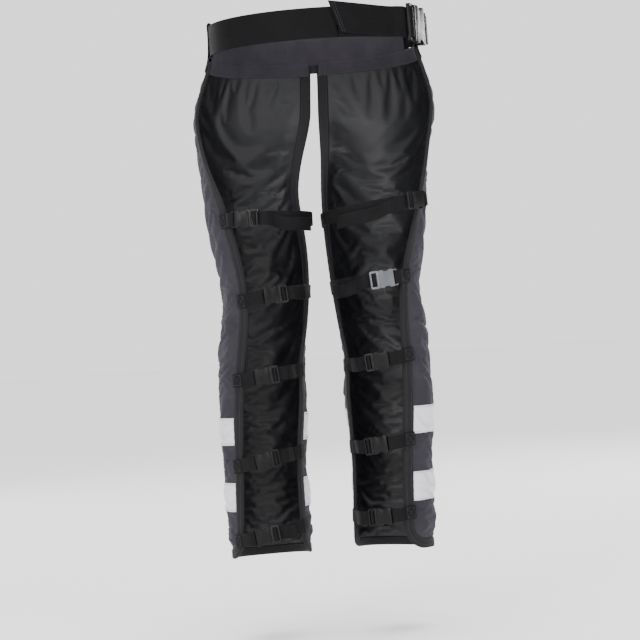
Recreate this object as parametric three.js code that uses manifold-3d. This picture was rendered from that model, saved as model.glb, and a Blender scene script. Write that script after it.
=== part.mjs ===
// Chainsaw chaps, as worn: a waist belt, a front waistband, two padded leg panels and ten clip straps.
// Millimetres. +Z is up, the wearer faces -Y, +X is the wearer's left. The origin is the centre of the waist.
import * as THREE from "three";
import { mergeVertices } from "three/addons/utils/BufferGeometryUtils.js";
import Module from "manifold-3d";

const wasm = await Module();
wasm.setup();

// ---------------------------------------------------------------- materials

const finish = (color, roughness, metalness = 0) =>
  new THREE.MeshStandardMaterial({ color, roughness, metalness });
const shellCloth = finish(0x3d3b44, 0.85);
const liningCloth = finish(0x17171a, 0.6);
const packFelt = finish(0xc9b25a, 0.95);
const bindingTape = finish(0x232124, 0.8);
const webbing = finish(0x262325, 0.75);
const reflectiveTape = finish(0xc9cad2, 0.35);
const moulded = finish(0x1b1b1c, 0.4);
const greyMoulded = finish(0x8e8f92, 0.4);

// ---------------------------------------------------------------- driving dimensions

const DEG = Math.PI / 180;
const LEFT = 1; // the wearer's left leg, on +X
const RIGHT = -1; // angles round a leg run from the outer side (0) over the front (90) to the inner side (180)
const GAP = 0.4; // between two layers that lie on each other

const PANEL_TOP_Z = -35;
const PANEL_BOTTOM_Z = -860;
const FRONT_DIP = 8; // the panel reaches this much lower over the instep
const CORNER_R = 36; // rounded lower corners of the panel
const THIGH_START_Z = -110; // above this the panel follows the hips
const THIGH_END_Z = -290; // below this it follows the leg
const TWIST_DEG = 13; // the two panels sit turned the same way round, most at thigh and ankle
const TWIST_TOP_Z = -250;
const TWIST_BOTTOM_Z = -810;
const HIP_SWAY = 14; // the legs stand this much to the left of the waist's middle
const SWAY_TOP_Z = 30;
const SWAY_BOTTOM_Z = -320;
const ANKLE_SWAY = 11; // and the ankles a little more
const ANKLE_SWAY_TOP_Z = -300;

// layers of the panel, as heights above the leg
const LINING = [0, 0.8];
const PACK = [1.2, 6.2];
const SHELL = [6.6, 8.0];
const BINDING = { clear: 1.5, thick: 1.2, reach: 11 };
const BINDING_TOP = SHELL[1] + BINDING.clear + BINDING.thick;
const BAND = { height: 48, lift: 0.7, thick: 0.5, z: [-650, -759] };

const HIP_EDGE_DEG = -8; // the panel's outer edge on the hip
const HIP_CENTRE_DEG = 87.5; // its inner edge, just beside the centre front

const LAID_IN = [-11, 4, 13, 22]; // steps of a long strap onto the panel, inwards from the panel's inner edge
const liftAt = (inwards) => WEB_ON_PANEL + (inwards < 0 ? 2 : 0);
const BELT = { width: 50, thick: 2.4, lift: 3.0 };
const WAISTBAND = { height: 66, wall: 1.3, inside: 5.6, fromDeg: 172, toDeg: 336 };
const WEB = { width: 22, thick: 1.5 };
const WEB_ON_LEG = 2.5; // height of the webbing's middle above the leg
const WEB_ON_PANEL = BINDING_TOP + 1.4 + WEB.thick / 2;

// the leg by height: middle x, middle y, half width, half depth, outer and inner edge angle of the panel
const LEG = [
  [-110, 97, 0, 92, 100, -6, 128],
  [-205, 95, 2, 89, 96, -20, 140],
  [-306, 92, 2, 82, 88, -41, 152],
  [-407, 89, -2, 69, 76, -55, 168],
  [-474, 95, -5, 66, 67, -63, 182],
  [-541, 103, 0, 65, 62, -66, 196],
  [-608, 104, 5, 66, 62, -65, 200],
  [-709, 105, 8, 61, 58, -64, 200],
  [-810, 103, 8, 61, 60, -61, 198],
  [-880, 102, 6, 63, 63, -60, 196],
];
// the torso by height: half width, half depth
const TORSO = [
  [40, 168, 112],
  [0, 168, 112],
  [-35, 171, 114],
  [-70, 182, 117],
  [-104, 192, 120],
  [-138, 196, 122],
  [-205, 190, 122],
  [-300, 180, 118],
];
const ROW_Z = [
  -35, -85, -130, -170, -205, -240, -275, -310, -345, -390, -435, -490, -540, -585, -626, -674, -735, -783,
];
const LAST_ROWS = [0.45, 1]; // shares of the way from the lowest row to the hem
const COLUMNS = [0, 0.02, 0.055, 0.1, 0.2, 0.3, 0.4, 0.5, 0.6, 0.7, 0.8, 0.9, 0.945, 0.98, 1];

// clip straps, top to bottom: height and angle of the buckle's middle, its height above the leg, slope towards
// the left, and how far in from the panel's outer edge the tab that holds the socket is sewn on
const STRAPS = {
  left: [
    { z: -305, deg: -75, lift: 14.5, slope: 1, sewn: [32, 24, 16] },
    { z: -431, deg: -100, lift: 6.2, slope: -5, sewn: [19, 6, -11] },
    { z: -562, deg: -95, lift: 8.2, slope: -6, sewn: [19, 8, -4] },
    { z: -699, deg: -93, lift: 8.2, slope: -8.5, sewn: [19, 8, -5] },
    { z: -822, deg: -86, lift: 6.2, slope: -8.5, sewn: [19, 8, -11] },
  ],
  right: [
    { z: -292, deg: -44, lift: 15.5, slope: -7, sewn: [36, 28, 19] },
    { z: -417, deg: -80, lift: 10.5, slope: -5, sewn: [19, 10, 1], plastic: greyMoulded },
    { z: -550, deg: -101, lift: 7.2, slope: -6, sewn: [19, 8, -6] },
    { z: -687, deg: -109, lift: 6.2, slope: -6, sewn: [19, 8, -8] },
    { z: -804, deg: -107, lift: 6.2, slope: -3, sewn: [19, 8, -5] },
  ],
};

// side-release buckle for 22 mm webbing; x runs from the socket to the plug, 0 is the socket's mouth
const CLIP = {
  width: 29,
  thick: 8,
  bodyEnd: -24,
  barEnd: -30.5,
  bar: 3.5,
  wall: 1.7,
  wallFlat: 1.6,
  scallop: { from: -18, to: -6, deep: 3.6 },
  ladderEnd: 15,
  base: 4.2,
  plate: 4.4,
  slot: 3.4,
  rail: 3.2,
  prong: { width: 3.2, length: 18.5, padFrom: -16.5, padTo: -7.5 },
  tongue: { width: 6.5, length: 14 },
  clear: 0.3,
};
// the same buckle for the 50 mm belt
const BELT_CLIP = {
  width: 62,
  thick: 12,
  bodyEnd: -42,
  barEnd: -51,
  bar: 4.5,
  wall: 2.6,
  wallFlat: 2.2,
  scallop: { from: -32, to: -11, deep: 7 },
  ladderEnd: 25,
  base: 8,
  plate: 6,
  slot: 4.6,
  rail: 5,
  prong: { width: 5.4, length: 33, padFrom: -30, padTo: -13 },
  tongue: { width: 15, length: 26 },
  clear: 0.4,
};
const BELT_CLIP_DEG = 15; // the middle of the belt buckle, on the right hip
const BELT_TAIL_END_DEG = 84; // the tail lies on the back of the belt up to here
const BELT_TAIL_RISE = 9;
const BELT_TAIL_CUT = 18; // the tail's end is cut on the slant

// ---------------------------------------------------------------- solids from points

// A closed body from vertices and triangles, turned so that its faces point outwards.
function body(vertices, triangles) {
  let volume = 0;
  const cross = new THREE.Vector3();
  for (const [a, b, c] of triangles)
    volume += vertices[a].dot(cross.crossVectors(vertices[b], vertices[c]));
  const faces = volume < 0 ? triangles.map(([a, b, c]) => [a, c, b]) : triangles;
  const geometry = new THREE.BufferGeometry();
  geometry.setFromPoints(vertices);
  geometry.setIndex(faces.flat());
  geometry.computeVertexNormals();
  return geometry;
}

// A sheet with thickness: point(i, j, top) over columns x rows, with walls along its four edges.
function sheet(columns, rows, point) {
  const vertices = [];
  const triangles = [];
  const at = (i, j, top) => (top * rows + j) * columns + i;
  for (const top of [0, 1])
    for (let j = 0; j < rows; j++)
      for (let i = 0; i < columns; i++) vertices.push(point(i, j, top));
  const quad = (a, b, c, d) => triangles.push([a, b, c], [a, c, d]);
  for (let j = 0; j + 1 < rows; j++)
    for (let i = 0; i + 1 < columns; i++) {
      quad(at(i, j, 1), at(i + 1, j, 1), at(i + 1, j + 1, 1), at(i, j + 1, 1));
      const [a, b, c, d] = [at(i, j, 0), at(i + 1, j, 0), at(i + 1, j + 1, 0), at(i, j + 1, 0)];
      triangles.push([a, c, b], [a, d, c]);
    }
  for (let i = 0; i + 1 < columns; i++) {
    quad(at(i, 0, 0), at(i + 1, 0, 0), at(i + 1, 0, 1), at(i, 0, 1));
    quad(at(i + 1, rows - 1, 0), at(i, rows - 1, 0), at(i, rows - 1, 1), at(i + 1, rows - 1, 1));
  }
  for (let j = 0; j + 1 < rows; j++) {
    quad(at(0, j + 1, 0), at(0, j, 0), at(0, j, 1), at(0, j + 1, 1));
    quad(at(columns - 1, j, 0), at(columns - 1, j + 1, 0), at(columns - 1, j + 1, 1), at(columns - 1, j, 1));
  }
  return body(vertices, triangles);
}

// A section carried through a row of rings, closed at both ends by the section's own triangles.
function sweep(rings, capTriangles) {
  const n = rings[0].length;
  const triangles = [];
  for (let r = 0; r + 1 < rings.length; r++)
    for (let k = 0; k < n; k++) {
      const [a, b] = [r * n + k, r * n + ((k + 1) % n)];
      triangles.push([a, b, b + n], [a, b + n, a + n]);
    }
  const last = (rings.length - 1) * n;
  for (const [a, b, c] of capTriangles)
    triangles.push([a, c, b], [a + last, b + last, c + last]);
  return body(rings.flat(), triangles);
}

const RECTANGLE_CAP = [[0, 1, 2], [0, 2, 3]];

const RECTANGLE = [[1, 1], [1, -1], [-1, -1], [-1, 1]]; // which side, and outer or inner face

// The sections of a flat strap along a path: its width runs `across`, its thickness square to that and the path.
function strapRings(path, across, width, thick) {
  const side = across.clone().setLength(width / 2);
  return path.map((p, k) => {
    const along = path[Math.min(k + 1, path.length - 1)].clone().sub(path[Math.max(k - 1, 0)]);
    const out = along.cross(across).setLength(thick / 2);
    return RECTANGLE.map(([s, t]) => p.clone().addScaledVector(side, s).addScaledVector(out, t));
  });
}
const strap = (path, across, width, thick) => sweep(strapRings(path, across, width, thick), RECTANGLE_CAP);

// ---------------------------------------------------------------- joining and cutting

function solid(geometry) {
  const bare = geometry.clone();
  bare.deleteAttribute("normal");
  bare.deleteAttribute("uv");
  const merged = mergeVertices(bare, 1e-4);
  return new wasm.Manifold(
    new wasm.Mesh({
      numProp: 3,
      vertProperties: new Float32Array(merged.attributes.position.array),
      triVerts: new Uint32Array(merged.index.array),
    }),
  );
}

function geometryOf(made) {
  const mesh = made.getMesh();
  const geometry = new THREE.BufferGeometry();
  geometry.setAttribute("position", new THREE.BufferAttribute(mesh.vertProperties, 3));
  geometry.setIndex(new THREE.BufferAttribute(mesh.triVerts, 1));
  geometry.computeVertexNormals();
  return geometry;
}

function block(x0, x1, y0, y1, z0, z1) {
  const box = new THREE.BoxGeometry(x1 - x0, y1 - y0, z1 - z0);
  return solid(box.translate((x0 + x1) / 2, (y0 + y1) / 2, (z0 + z1) / 2));
}

// An outline of [x, y] points made z0 to z1 thick.
function plate(points, z0, z1) {
  const shape = new THREE.Shape(points.map(([x, y]) => new THREE.Vector2(x, y)));
  const made = new THREE.ExtrudeGeometry(shape, { depth: z1 - z0, bevelEnabled: false });
  return solid(made.translate(0, 0, z0));
}

// ---------------------------------------------------------------- the wearer's shape

const mix = (a, b, t) => a + (b - a) * t;
const smooth = (t) => {
  const c = Math.min(1, Math.max(0, t));
  return c * c * (3 - 2 * c);
};

// A smooth curve through a table whose first column is the height: returns the other columns at a height.
function track(table) {
  const slope = (k, c) => {
    const [a, b] = [table[Math.max(k - 1, 0)], table[Math.min(k + 1, table.length - 1)]];
    return (b[c] - a[c]) / (b[0] - a[0]);
  };
  return (z) => {
    let k = 0;
    while (k < table.length - 2 && z < table[k + 1][0]) k++;
    const [a, b] = [table[k], table[k + 1]];
    const step = b[0] - a[0];
    const t = Math.min(1, Math.max(0, (z - a[0]) / step));
    return a.slice(1).map((_, n) => {
      const c = n + 1;
      const [h1, h2] = [t * t * (3 - 2 * t), t * (1 - t)];
      return mix(a[c], b[c], h1) + step * h2 * ((1 - t) * slope(k, c) - t * slope(k + 1, c));
    });
  };
}
const legAt = track(LEG);
const torsoAt = track(TORSO);

const twistAt = (z) =>
  TWIST_DEG * (1 - (2 * Math.min(1, Math.max(0, (TWIST_TOP_Z - z) / (TWIST_TOP_Z - TWIST_BOTTOM_Z)))));

const swayAt = (z) =>
  HIP_SWAY * smooth((SWAY_TOP_Z - z) / (SWAY_TOP_Z - SWAY_BOTTOM_Z)) +
  ANKLE_SWAY * smooth((ANKLE_SWAY_TOP_Z - z) / (ANKLE_SWAY_TOP_Z - PANEL_BOTTOM_Z));

// A point round the leg, at a height above its skin.
function onLeg(side, deg, z, lift) {
  const [cx, cy, rx, ry] = legAt(z);
  const a = deg * DEG;
  const x = swayAt(z) + side * (cx + (rx + lift) * Math.cos(a));
  return new THREE.Vector3(x, cy - (ry + lift) * Math.sin(a), z);
}

// The panel's inner face: u runs from the outer edge (0) to the inner edge (1).
function skin(side, u, z) {
  const [, , , , outerDeg, innerDeg] = legAt(z);
  const twist = side * twistAt(z);
  const leg = onLeg(side, mix(outerDeg - twist, innerDeg - twist, u), z, 0);
  const [halfWidth, halfDepth] = torsoAt(z);
  const hip = mix(HIP_EDGE_DEG, HIP_CENTRE_DEG, u) * DEG;
  const torso = new THREE.Vector3(swayAt(z) + side * halfWidth * Math.cos(hip), -halfDepth * Math.sin(hip), z);
  return torso.lerp(leg, smooth((THIGH_START_Z - z) / (THIGH_START_Z - THIGH_END_Z)));
}

// A point of the panel, `lift` above its inner face.
function onPanel(side, u, z, lift) {
  const [du, dz] = [0.004, 1];
  const along = skin(side, u + du, z).sub(skin(side, u - du, z));
  const down = skin(side, u, z - dz).sub(skin(side, u, z + dz));
  const out = along.cross(down).setLength(side * lift);
  return skin(side, u, z).add(out);
}

// Width of the panel round the leg at a height.
function panelWidth(side, z) {
  let width = 0;
  const steps = 24;
  for (let k = 0; k < steps; k++) width += skin(side, k / steps, z).distanceTo(skin(side, (k + 1) / steps, z));
  return width;
}

// The hem: lower over the instep, with round corners.
function hemZ(side, u) {
  const width = panelWidth(side, PANEL_BOTTOM_Z);
  const edge = Math.max(0, CORNER_R - Math.min(u, 1 - u) * width);
  return PANEL_BOTTOM_Z - FRONT_DIP * Math.sin(Math.PI * u) ** 2 + CORNER_R - Math.sqrt(CORNER_R ** 2 - edge ** 2);
}

// ---------------------------------------------------------------- leg panels

const rowZ = (side, u, j) =>
  j < ROW_Z.length ? ROW_Z[j] : mix(ROW_Z.at(-1), hemZ(side, u), LAST_ROWS[j - ROW_Z.length]);
const PANEL_ROWS = ROW_Z.length + LAST_ROWS.length;

// One layer of the panel, over all of it or over some of its columns and rows.
function layer(side, [low, high], columns = COLUMNS, firstRow = 0, rowCount = PANEL_ROWS) {
  return sheet(columns.length, rowCount, (i, j, top) =>
    onPanel(side, columns[i], rowZ(side, columns[i], firstRow + j), top ? high : low),
  );
}

// Tape folded over the outer edge, the hem and the inner edge, a C in section.
function binding(side) {
  const edge = [];
  const sideEdge = (u, inward) =>
    ROW_Z.map((z) => ({ u, z: Math.min(z, PANEL_TOP_Z - 3), du: inward / panelWidth(side, z), dz: 0 }));
  const hem = COLUMNS.map((u) => {
    const width = panelWidth(side, PANEL_BOTTOM_Z);
    const s = Math.min(u, 1 - u) * width;
    const lean = Math.max(0, (CORNER_R - s) / CORNER_R); // 1 at the side edge, 0 along the hem
    const inward = u < 0.5 ? 1 : -1;
    return { u, z: hemZ(side, u), du: (inward * lean) / width, dz: Math.sqrt(1 - lean ** 2) };
  });
  edge.push(...sideEdge(0, 1), ...hem, ...sideEdge(1, -1).reverse());
  const { clear, thick, reach } = BINDING;
  const [low, high] = [LINING[0] - clear, SHELL[1] + clear];
  const section = [
    [reach, high + thick],
    [-clear - thick, high + thick],
    [-clear - thick, low - thick],
    [reach, low - thick],
    [reach, low],
    [-clear, low],
    [-clear, high],
    [reach, high],
  ];
  const cap = THREE.ShapeUtils.triangulateShape(section.map(([a, b]) => new THREE.Vector2(a, b)), []);
  const rings = edge.map(({ u, z, du, dz }) =>
    section.map(([inwards, lift]) => onPanel(side, u + du * inwards, z + dz * inwards, lift)),
  );
  return sweep(rings, cap);
}

// Reflective tape round the outside of the shell, from binding to binding.
function band(side, middleZ) {
  const firstRow = ROW_Z.findIndex((z) => z <= middleZ + BAND.height / 2 + 1);
  const width = panelWidth(side, middleZ);
  const inset = (BINDING.reach + 2) / width;
  const columns = [inset, ...COLUMNS.filter((u) => u > inset + 0.01 && u < 1 - inset - 0.01), 1 - inset];
  const low = SHELL[1] + BAND.lift;
  return layer(side, [low, low + BAND.thick], columns, firstRow, 2);
}

// ---------------------------------------------------------------- side-release buckles

// A rounded rectangle outline whose two long sides may dip in a scallop.
function roundedOutline(x0, x1, half, radius, scallop) {
  const points = [];
  const corner = (cx, cy, from) => {
    for (const t of [0, 0.5, 1])
      points.push([cx + radius * Math.cos((from + 90 * t) * DEG), cy + radius * Math.sin((from + 90 * t) * DEG)]);
  };
  const dips = (sign) => {
    if (!scallop) return;
    const count = 4;
    for (let k = 0; k <= count; k++) {
      const t = sign > 0 ? k / count : 1 - k / count;
      points.push([mix(scallop.to, scallop.from, t), sign * (half - scallop.deep * Math.sin(Math.PI * t))]);
    }
  };
  corner(x1 - radius, half - radius, 0);
  dips(1);
  corner(x0 + radius, half - radius, 90);
  corner(x0 + radius, -half + radius, 180);
  dips(-1);
  corner(x1 - radius, -half + radius, 270);
  return points;
}

// The socket: a flat box open at the mouth and at both scallops, with a bar for the webbing at its far end.
function socket(c) {
  const half = c.width / 2;
  const cavityEnd = c.bodyEnd + 2.5;
  const outer = plate(roundedOutline(c.bodyEnd, 0, half, 2, c.scallop), -c.thick / 2, c.thick / 2);
  const loop = plate(roundedOutline(c.barEnd, c.bodyEnd + 4, half - 1, 2), -c.plate / 2, c.plate / 2);
  const webSlot = block(c.barEnd + c.bar, c.bodyEnd, -half + c.rail, half - c.rail, -c.thick, c.thick);
  const tall = c.thick / 2 - c.wallFlat;
  const cavity = block(cavityEnd, 1, -half + c.wall, half - c.wall, -tall, tall);
  const windows = block(c.scallop.from, c.scallop.to, -half - 1, half + 1, -tall, tall);
  return geometryOf(outer.add(loop).subtract(webSlot).subtract(cavity).subtract(windows));
}

// One latch arm, with the pad that fills the scallop and is pressed to let go.
function prongOutline(c, sign, root) {
  const outerEdge = c.width / 2 - c.wall - 0.5;
  const { width, length, padFrom, padTo } = c.prong;
  const innerEdge = outerEdge - width;
  return [
    [root, innerEdge],
    [root, innerEdge + width * 0.8],
    [padTo + 1.5, innerEdge + width * 0.8],
    [padTo, outerEdge],
    [padFrom, outerEdge],
    [-length, innerEdge + width * 0.45],
    [-length, innerEdge - width * 0.1],
    [padTo, innerEdge],
  ].map(([x, y]) => [x, sign * y]);
}

const armHalf = (c) => c.thick / 2 - c.wallFlat - c.clear;

// The plug: a ladder for the webbing, a shoulder and a centre tongue, with its latch arms unless they are apart.
function plug(c, withArms) {
  const half = c.width / 2;
  const under = c.plate / 2;
  const [first, second] = [c.base + 0.4, c.ladderEnd - c.slot - 2.2];
  const slotHalf = half - c.rail;
  let made = plate(roundedOutline(c.clear + 0.2, c.ladderEnd, half, 2), -under, under)
    .subtract(block(first, first + c.slot, -slotHalf, slotHalf, -c.thick, c.thick))
    .subtract(block(second, second + c.slot, -slotHalf, slotHalf, -c.thick, c.thick))
    .add(block(c.clear + 0.2, c.base, -half + 1.4, half - 1.4, 0, c.thick / 2 - 0.3))
    .add(block(-c.tongue.length, 1, -c.tongue.width / 2, c.tongue.width / 2, -armHalf(c), armHalf(c)));
  if (withArms)
    for (const sign of [1, -1]) made = made.add(plate(prongOutline(c, sign, 1), -armHalf(c), armHalf(c)));
  return geometryOf(made);
}

// ---------------------------------------------------------------- building the scene

const chaps = new THREE.Group();

function add(name, geometry, material, parent = chaps) {
  const mesh = new THREE.Mesh(geometry, material);
  mesh.name = name;
  parent.add(mesh);
  return mesh;
}

// A frame whose x runs along, y across and z outwards, to hold a buckle.
function placed(origin, along, out) {
  const group = new THREE.Group();
  const across = out.clone().cross(along).normalize();
  group.applyMatrix4(new THREE.Matrix4().makeBasis(along, across, along.clone().cross(across)));
  group.position.copy(origin);
  chaps.add(group);
  return group;
}

const LONG_STEPS = 16; // pieces of a long strap's free part
const SHORT_RUN = 15; // mm of strap lying on the leg, below which it doesn't lie on it at all
const smoothPath = (points, steps) =>
  new THREE.CatmullRomCurve3(points, false, "centripetal").getSpacedPoints(steps);

// The frame of a strap's buckle: its mouth, the way towards the inner side, and outwards.
function clipFrame(side, { z, deg, lift, slope }) {
  const middle = onLeg(side, deg, z, lift);
  const step = 1;
  const along = onLeg(side, deg - step, z, lift).sub(onLeg(side, deg + step, z, lift));
  along.z = along.x * Math.tan(slope * DEG);
  along.normalize();
  const flat = new THREE.Vector3(along.x, along.y, 0).normalize();
  const out = new THREE.Vector3(0, 0, -side).cross(flat).normalize();
  const origin = middle.addScaledVector(along, -(CLIP.barEnd + CLIP.ladderEnd) / 2);
  return { origin, along, out, across: out.clone().cross(along).normalize() };
}

// The way webbing takes round a socket's bar: under it, up through the slot, back over it and down onto itself.
function barLoop(c, thick) {
  const off = c.plate / 2 + GAP + thick / 2;
  const slotX = c.barEnd + c.bar + GAP + thick / 2;
  const round = 0.7 * (GAP + thick / 2);
  const folded = -off + thick + GAP;
  return [
    [c.barEnd - 9, -off],
    [slotX - round, -off],
    [slotX, -off + round],
    [slotX, off - round],
    [slotX - round, off],
    [c.barEnd - 0.5, off],
    [c.barEnd - 1.5 - off, folded + 0.6],
    [c.barEnd - 4.5 - off, folded],
  ];
}

// Where across the panel a point near it lies.
function panelU(side, p, lift, guess) {
  let u = guess;
  const du = 0.002;
  for (let k = 0; k < 6; k++) {
    const at = onPanel(side, u, p.z, lift);
    const along = onPanel(side, u + du, p.z, lift).sub(at);
    u += (du * p.clone().sub(at).dot(along)) / along.lengthSq();
  }
  return u;
}

// The section of a strap that lies on the panel, both its edges at the same height above the panel.
function laidRing(side, p, across, lift, guess) {
  return RECTANGLE.map(([s, t]) => {
    const edge = p.clone().addScaledVector(across, (s * WEB.width) / 2);
    return onPanel(side, panelU(side, edge, lift, guess), edge.z, lift + (t * WEB.thick) / 2);
  });
}

function clipStrap(side, sideName, number, spec) {
  const { origin, along, out, across } = clipFrame(side, spec);
  const at = (x, lift) => origin.clone().addScaledVector(along, x).addScaledVector(out, lift);
  const slopeZ = (p) => spec.z + (p.x - origin.x) * Math.tan(spec.slope * DEG);
  const onPanelEdge = (u, inward, inwards, lift) => {
    let p = onPanel(side, u, spec.z, lift);
    for (let k = 0; k < 3; k++) {
      const z = slopeZ(p);
      p = onPanel(side, u + (inward * inwards) / panelWidth(side, z), z, lift);
    }
    return p;
  };
  const under = -(CLIP.plate / 2 + GAP + WEB.thick / 2);

  // the long strap: from the plug round the back of the leg to the panel's inner edge
  const [, , rx, ry, , innerDeg] = legAt(spec.z);
  const degPerMm = 1 / (((rx + ry) / 2) * DEG);
  const from = spec.deg - 40 * degPerMm;
  const to = innerDeg - side * twistAt(spec.z) - 360 + 42 * degPerMm;
  // where the panel's edges are close together, the strap goes straight from the edge to its plug
  const free = [];
  const count = (from - to) / degPerMm > SHORT_RUN ? Math.max(1, Math.round((from - to) / 28)) : -1;
  for (let k = 0; k <= count; k++) {
    const p = onLeg(side, mix(from, to, k / count), spec.z, WEB_ON_LEG);
    p.z = slopeZ(p);
    free.push(p);
  }
  const rise = onPanelEdge(1, -1, -24, 8);
  const inner = LAID_IN.map((inwards) => onPanelEdge(1, -1, inwards, liftAt(inwards)));
  const longPath = [at(5, under), ...smoothPath([at(16, under), ...free, rise, inner[0]], LONG_STEPS)];
  const longRings = strapRings(longPath, across, WEB.width, WEB.thick).slice(0, -1);
  longRings.push(...inner.map((p, k) => laidRing(side, p, across, liftAt(LAID_IN[k]), 1)));
  add(`${sideName}_strap_${number}`, sweep(longRings, RECTANGLE_CAP), webbing);

  // the short tab: from the panel's outer edge to the socket's bar
  const outer = spec.sewn.map((inwards) => onPanelEdge(0, 1, inwards, liftAt(inwards)));
  const [first, ...loop] = barLoop(CLIP, WEB.thick).map(([x, height]) => at(x, height));
  const freeTab = smoothPath([outer.at(-1), first], 3).slice(1);
  const tabRings = outer.map((p, k) => laidRing(side, p, across, liftAt(spec.sewn[k]), 0));
  tabRings.push(...strapRings([...freeTab, ...loop], across, WEB.width, WEB.thick));
  add(`${sideName}_tab_${number}`, sweep(tabRings, RECTANGLE_CAP), webbing);

  const frame = placed(origin, along, out);
  const plastic = spec.plastic ?? moulded;
  add(`${sideName}_socket_${number}`, socket(CLIP), plastic, frame);
  add(`${sideName}_plug_${number}`, plug(CLIP, true), plastic, frame);
}

for (const [side, sideName] of [[LEFT, "left"], [RIGHT, "right"]]) {
  add(`${sideName}_shell`, layer(side, SHELL), shellCloth);
  add(`${sideName}_protective_pack`, layer(side, PACK, COLUMNS.slice(3, -3), 1, ROW_Z.length - 1), packFelt);
  add(`${sideName}_lining`, layer(side, LINING), liningCloth);
  add(`${sideName}_binding`, binding(side), bindingTape);
  BAND.z.forEach((z, k) => add(`${sideName}_reflective_band_${k + 1}`, band(side, z), reflectiveTape));
  STRAPS[sideName].forEach((spec, k) => clipStrap(side, sideName, k + 1, spec));
}

// ---------------------------------------------------------------- belt and waistband

// A point of the belt's path: degrees from the right hip (0) by the back (90) and left hip (180) to the front (270).
function onWaist(deg, z, lift) {
  const [halfWidth, halfDepth] = torsoAt(z);
  const a = deg * DEG;
  return new THREE.Vector3(-(halfWidth + lift) * Math.cos(a), (halfDepth + lift) * Math.sin(a), z);
}
const UP = new THREE.Vector3(0, 0, 1);
const waistRun = (fromDeg, toDeg, stepDeg, lift, rise = () => 0) => {
  const count = Math.round(Math.abs(toDeg - fromDeg) / stepDeg);
  return Array.from({ length: count + 1 }, (_, k) => {
    const p = onWaist(mix(fromDeg, toDeg, k / count), 0, lift);
    p.z = rise(k / count);
    return p;
  });
};

const beltFrame = (() => {
  const middle = onWaist(BELT_CLIP_DEG, 0, BELT_CLIP.thick / 2 + 4);
  const along = onWaist(BELT_CLIP_DEG + 1, 0, 0).sub(onWaist(BELT_CLIP_DEG - 1, 0, 0)).normalize();
  const origin = middle.addScaledVector(along, -(BELT_CLIP.barEnd + BELT_CLIP.ladderEnd) / 2);
  return { origin, along, out: UP.clone().cross(along).normalize() };
})();
const beltAt = (x, lift) =>
  beltFrame.origin.clone().addScaledVector(beltFrame.along, x).addScaledVector(beltFrame.out, lift);
const tailUnder = -(BELT_CLIP.plate / 2 + 0.8 + BELT.thick / 2); // the tail passes under the ladder
const beltUnder = tailUnder - BELT.thick - GAP; // and the belt under the tail
const beltMiddle = BELT.lift + BELT.thick / 2;
const FACET_DEG = 8; // the belt is made of flats this wide, with one centred on the back

// the webbing from the plug round the back, the left hip and the front, inside the waistband
const backRun = waistRun(BELT_CLIP_DEG + 34, 90 - FACET_DEG / 2, FACET_DEG, beltMiddle);
const frontRun = waistRun(90 + FACET_DEG / 2, 360 - 46, FACET_DEG, beltMiddle);
const beltPath = [beltAt(9, beltUnder), beltAt(24, beltUnder), ...backRun, ...frontRun];
add("belt_webbing", strap(beltPath, UP, BELT.width, BELT.thick), webbing);

// the short piece from the waistband's right end to the socket
const beltLoop = barLoop(BELT_CLIP, BELT.thick).map(([x, height]) => beltAt(x, height));
const shortPath = smoothPath(
  [
    onWaist(-40, 0, beltMiddle),
    onWaist(-32, 0, beltMiddle),
    onWaist(-25, 0, beltMiddle),
    beltLoop[0],
  ],
  8,
);
const shortStrap = strap([...shortPath, ...beltLoop.slice(1)], UP, BELT.width, BELT.thick);
add("belt_socket_tab", shortStrap, webbing);

const beltGroup = placed(beltFrame.origin, beltFrame.along, beltFrame.out);
add("belt_buckle_socket", socket(BELT_CLIP), moulded, beltGroup);
add("belt_buckle_plug", plug(BELT_CLIP, false), moulded, beltGroup);
for (const [name, sign] of [["belt_latch_arm_upper", 1], ["belt_latch_arm_lower", -1]]) {
  const arm = plate(prongOutline(BELT_CLIP, sign, -0.1), -armHalf(BELT_CLIP), armHalf(BELT_CLIP));
  add(name, geometryOf(arm), moulded, beltGroup);
}

// the tail, from under the plug's ladder over the outside of the belt, rising a little to its slanted end
const tailLift = BELT.lift + BELT.thick + 3.2;
const tailRun = waistRun(BELT_CLIP_DEG + 36, BELT_TAIL_END_DEG, 7, tailLift, (t) => BELT_TAIL_RISE * t * t);
const tail = strap([beltAt(9, tailUnder), beltAt(25, tailUnder), ...tailRun], UP, BELT.width, BELT.thick);
const tailEnd = tailRun.at(-1);
const cut = plate(
  [[0, -60], [0, 60], [60, 60], [60, -60]].map(([x, y]) => [x + (y / BELT.width) * BELT_TAIL_CUT, y]),
  -40,
  40,
);
const slant = new THREE.Group();
const tailAlong = tailEnd.clone().sub(tailRun.at(-3)).setComponent(2, 0).normalize();
const cutMatrix = new THREE.Matrix4()
  .makeBasis(tailAlong, UP, tailAlong.clone().cross(UP))
  .setPosition(tailEnd.clone().addScaledVector(tailAlong, -BELT_TAIL_CUT / 2));
slant.applyMatrix4(cutMatrix);
const cutter = solid(geometryOf(cut).applyMatrix4(cutMatrix));
add("belt_tail", geometryOf(solid(tail).subtract(cutter)), webbing);

// the waistband: a flat tunnel across the front from hip to hip, with the belt running through it
function tunnel(height, thick) {
  return solid(strap(waistRun(WAISTBAND.fromDeg, WAISTBAND.toDeg, FACET_DEG, beltMiddle), UP, height, thick));
}
const waistband = tunnel(WAISTBAND.height, WAISTBAND.inside + 2 * WAISTBAND.wall).subtract(
  tunnel(WAISTBAND.height - 2 * WAISTBAND.wall, WAISTBAND.inside),
);
add("front_waistband", geometryOf(waistband), shellCloth);

export default chaps;
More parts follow.
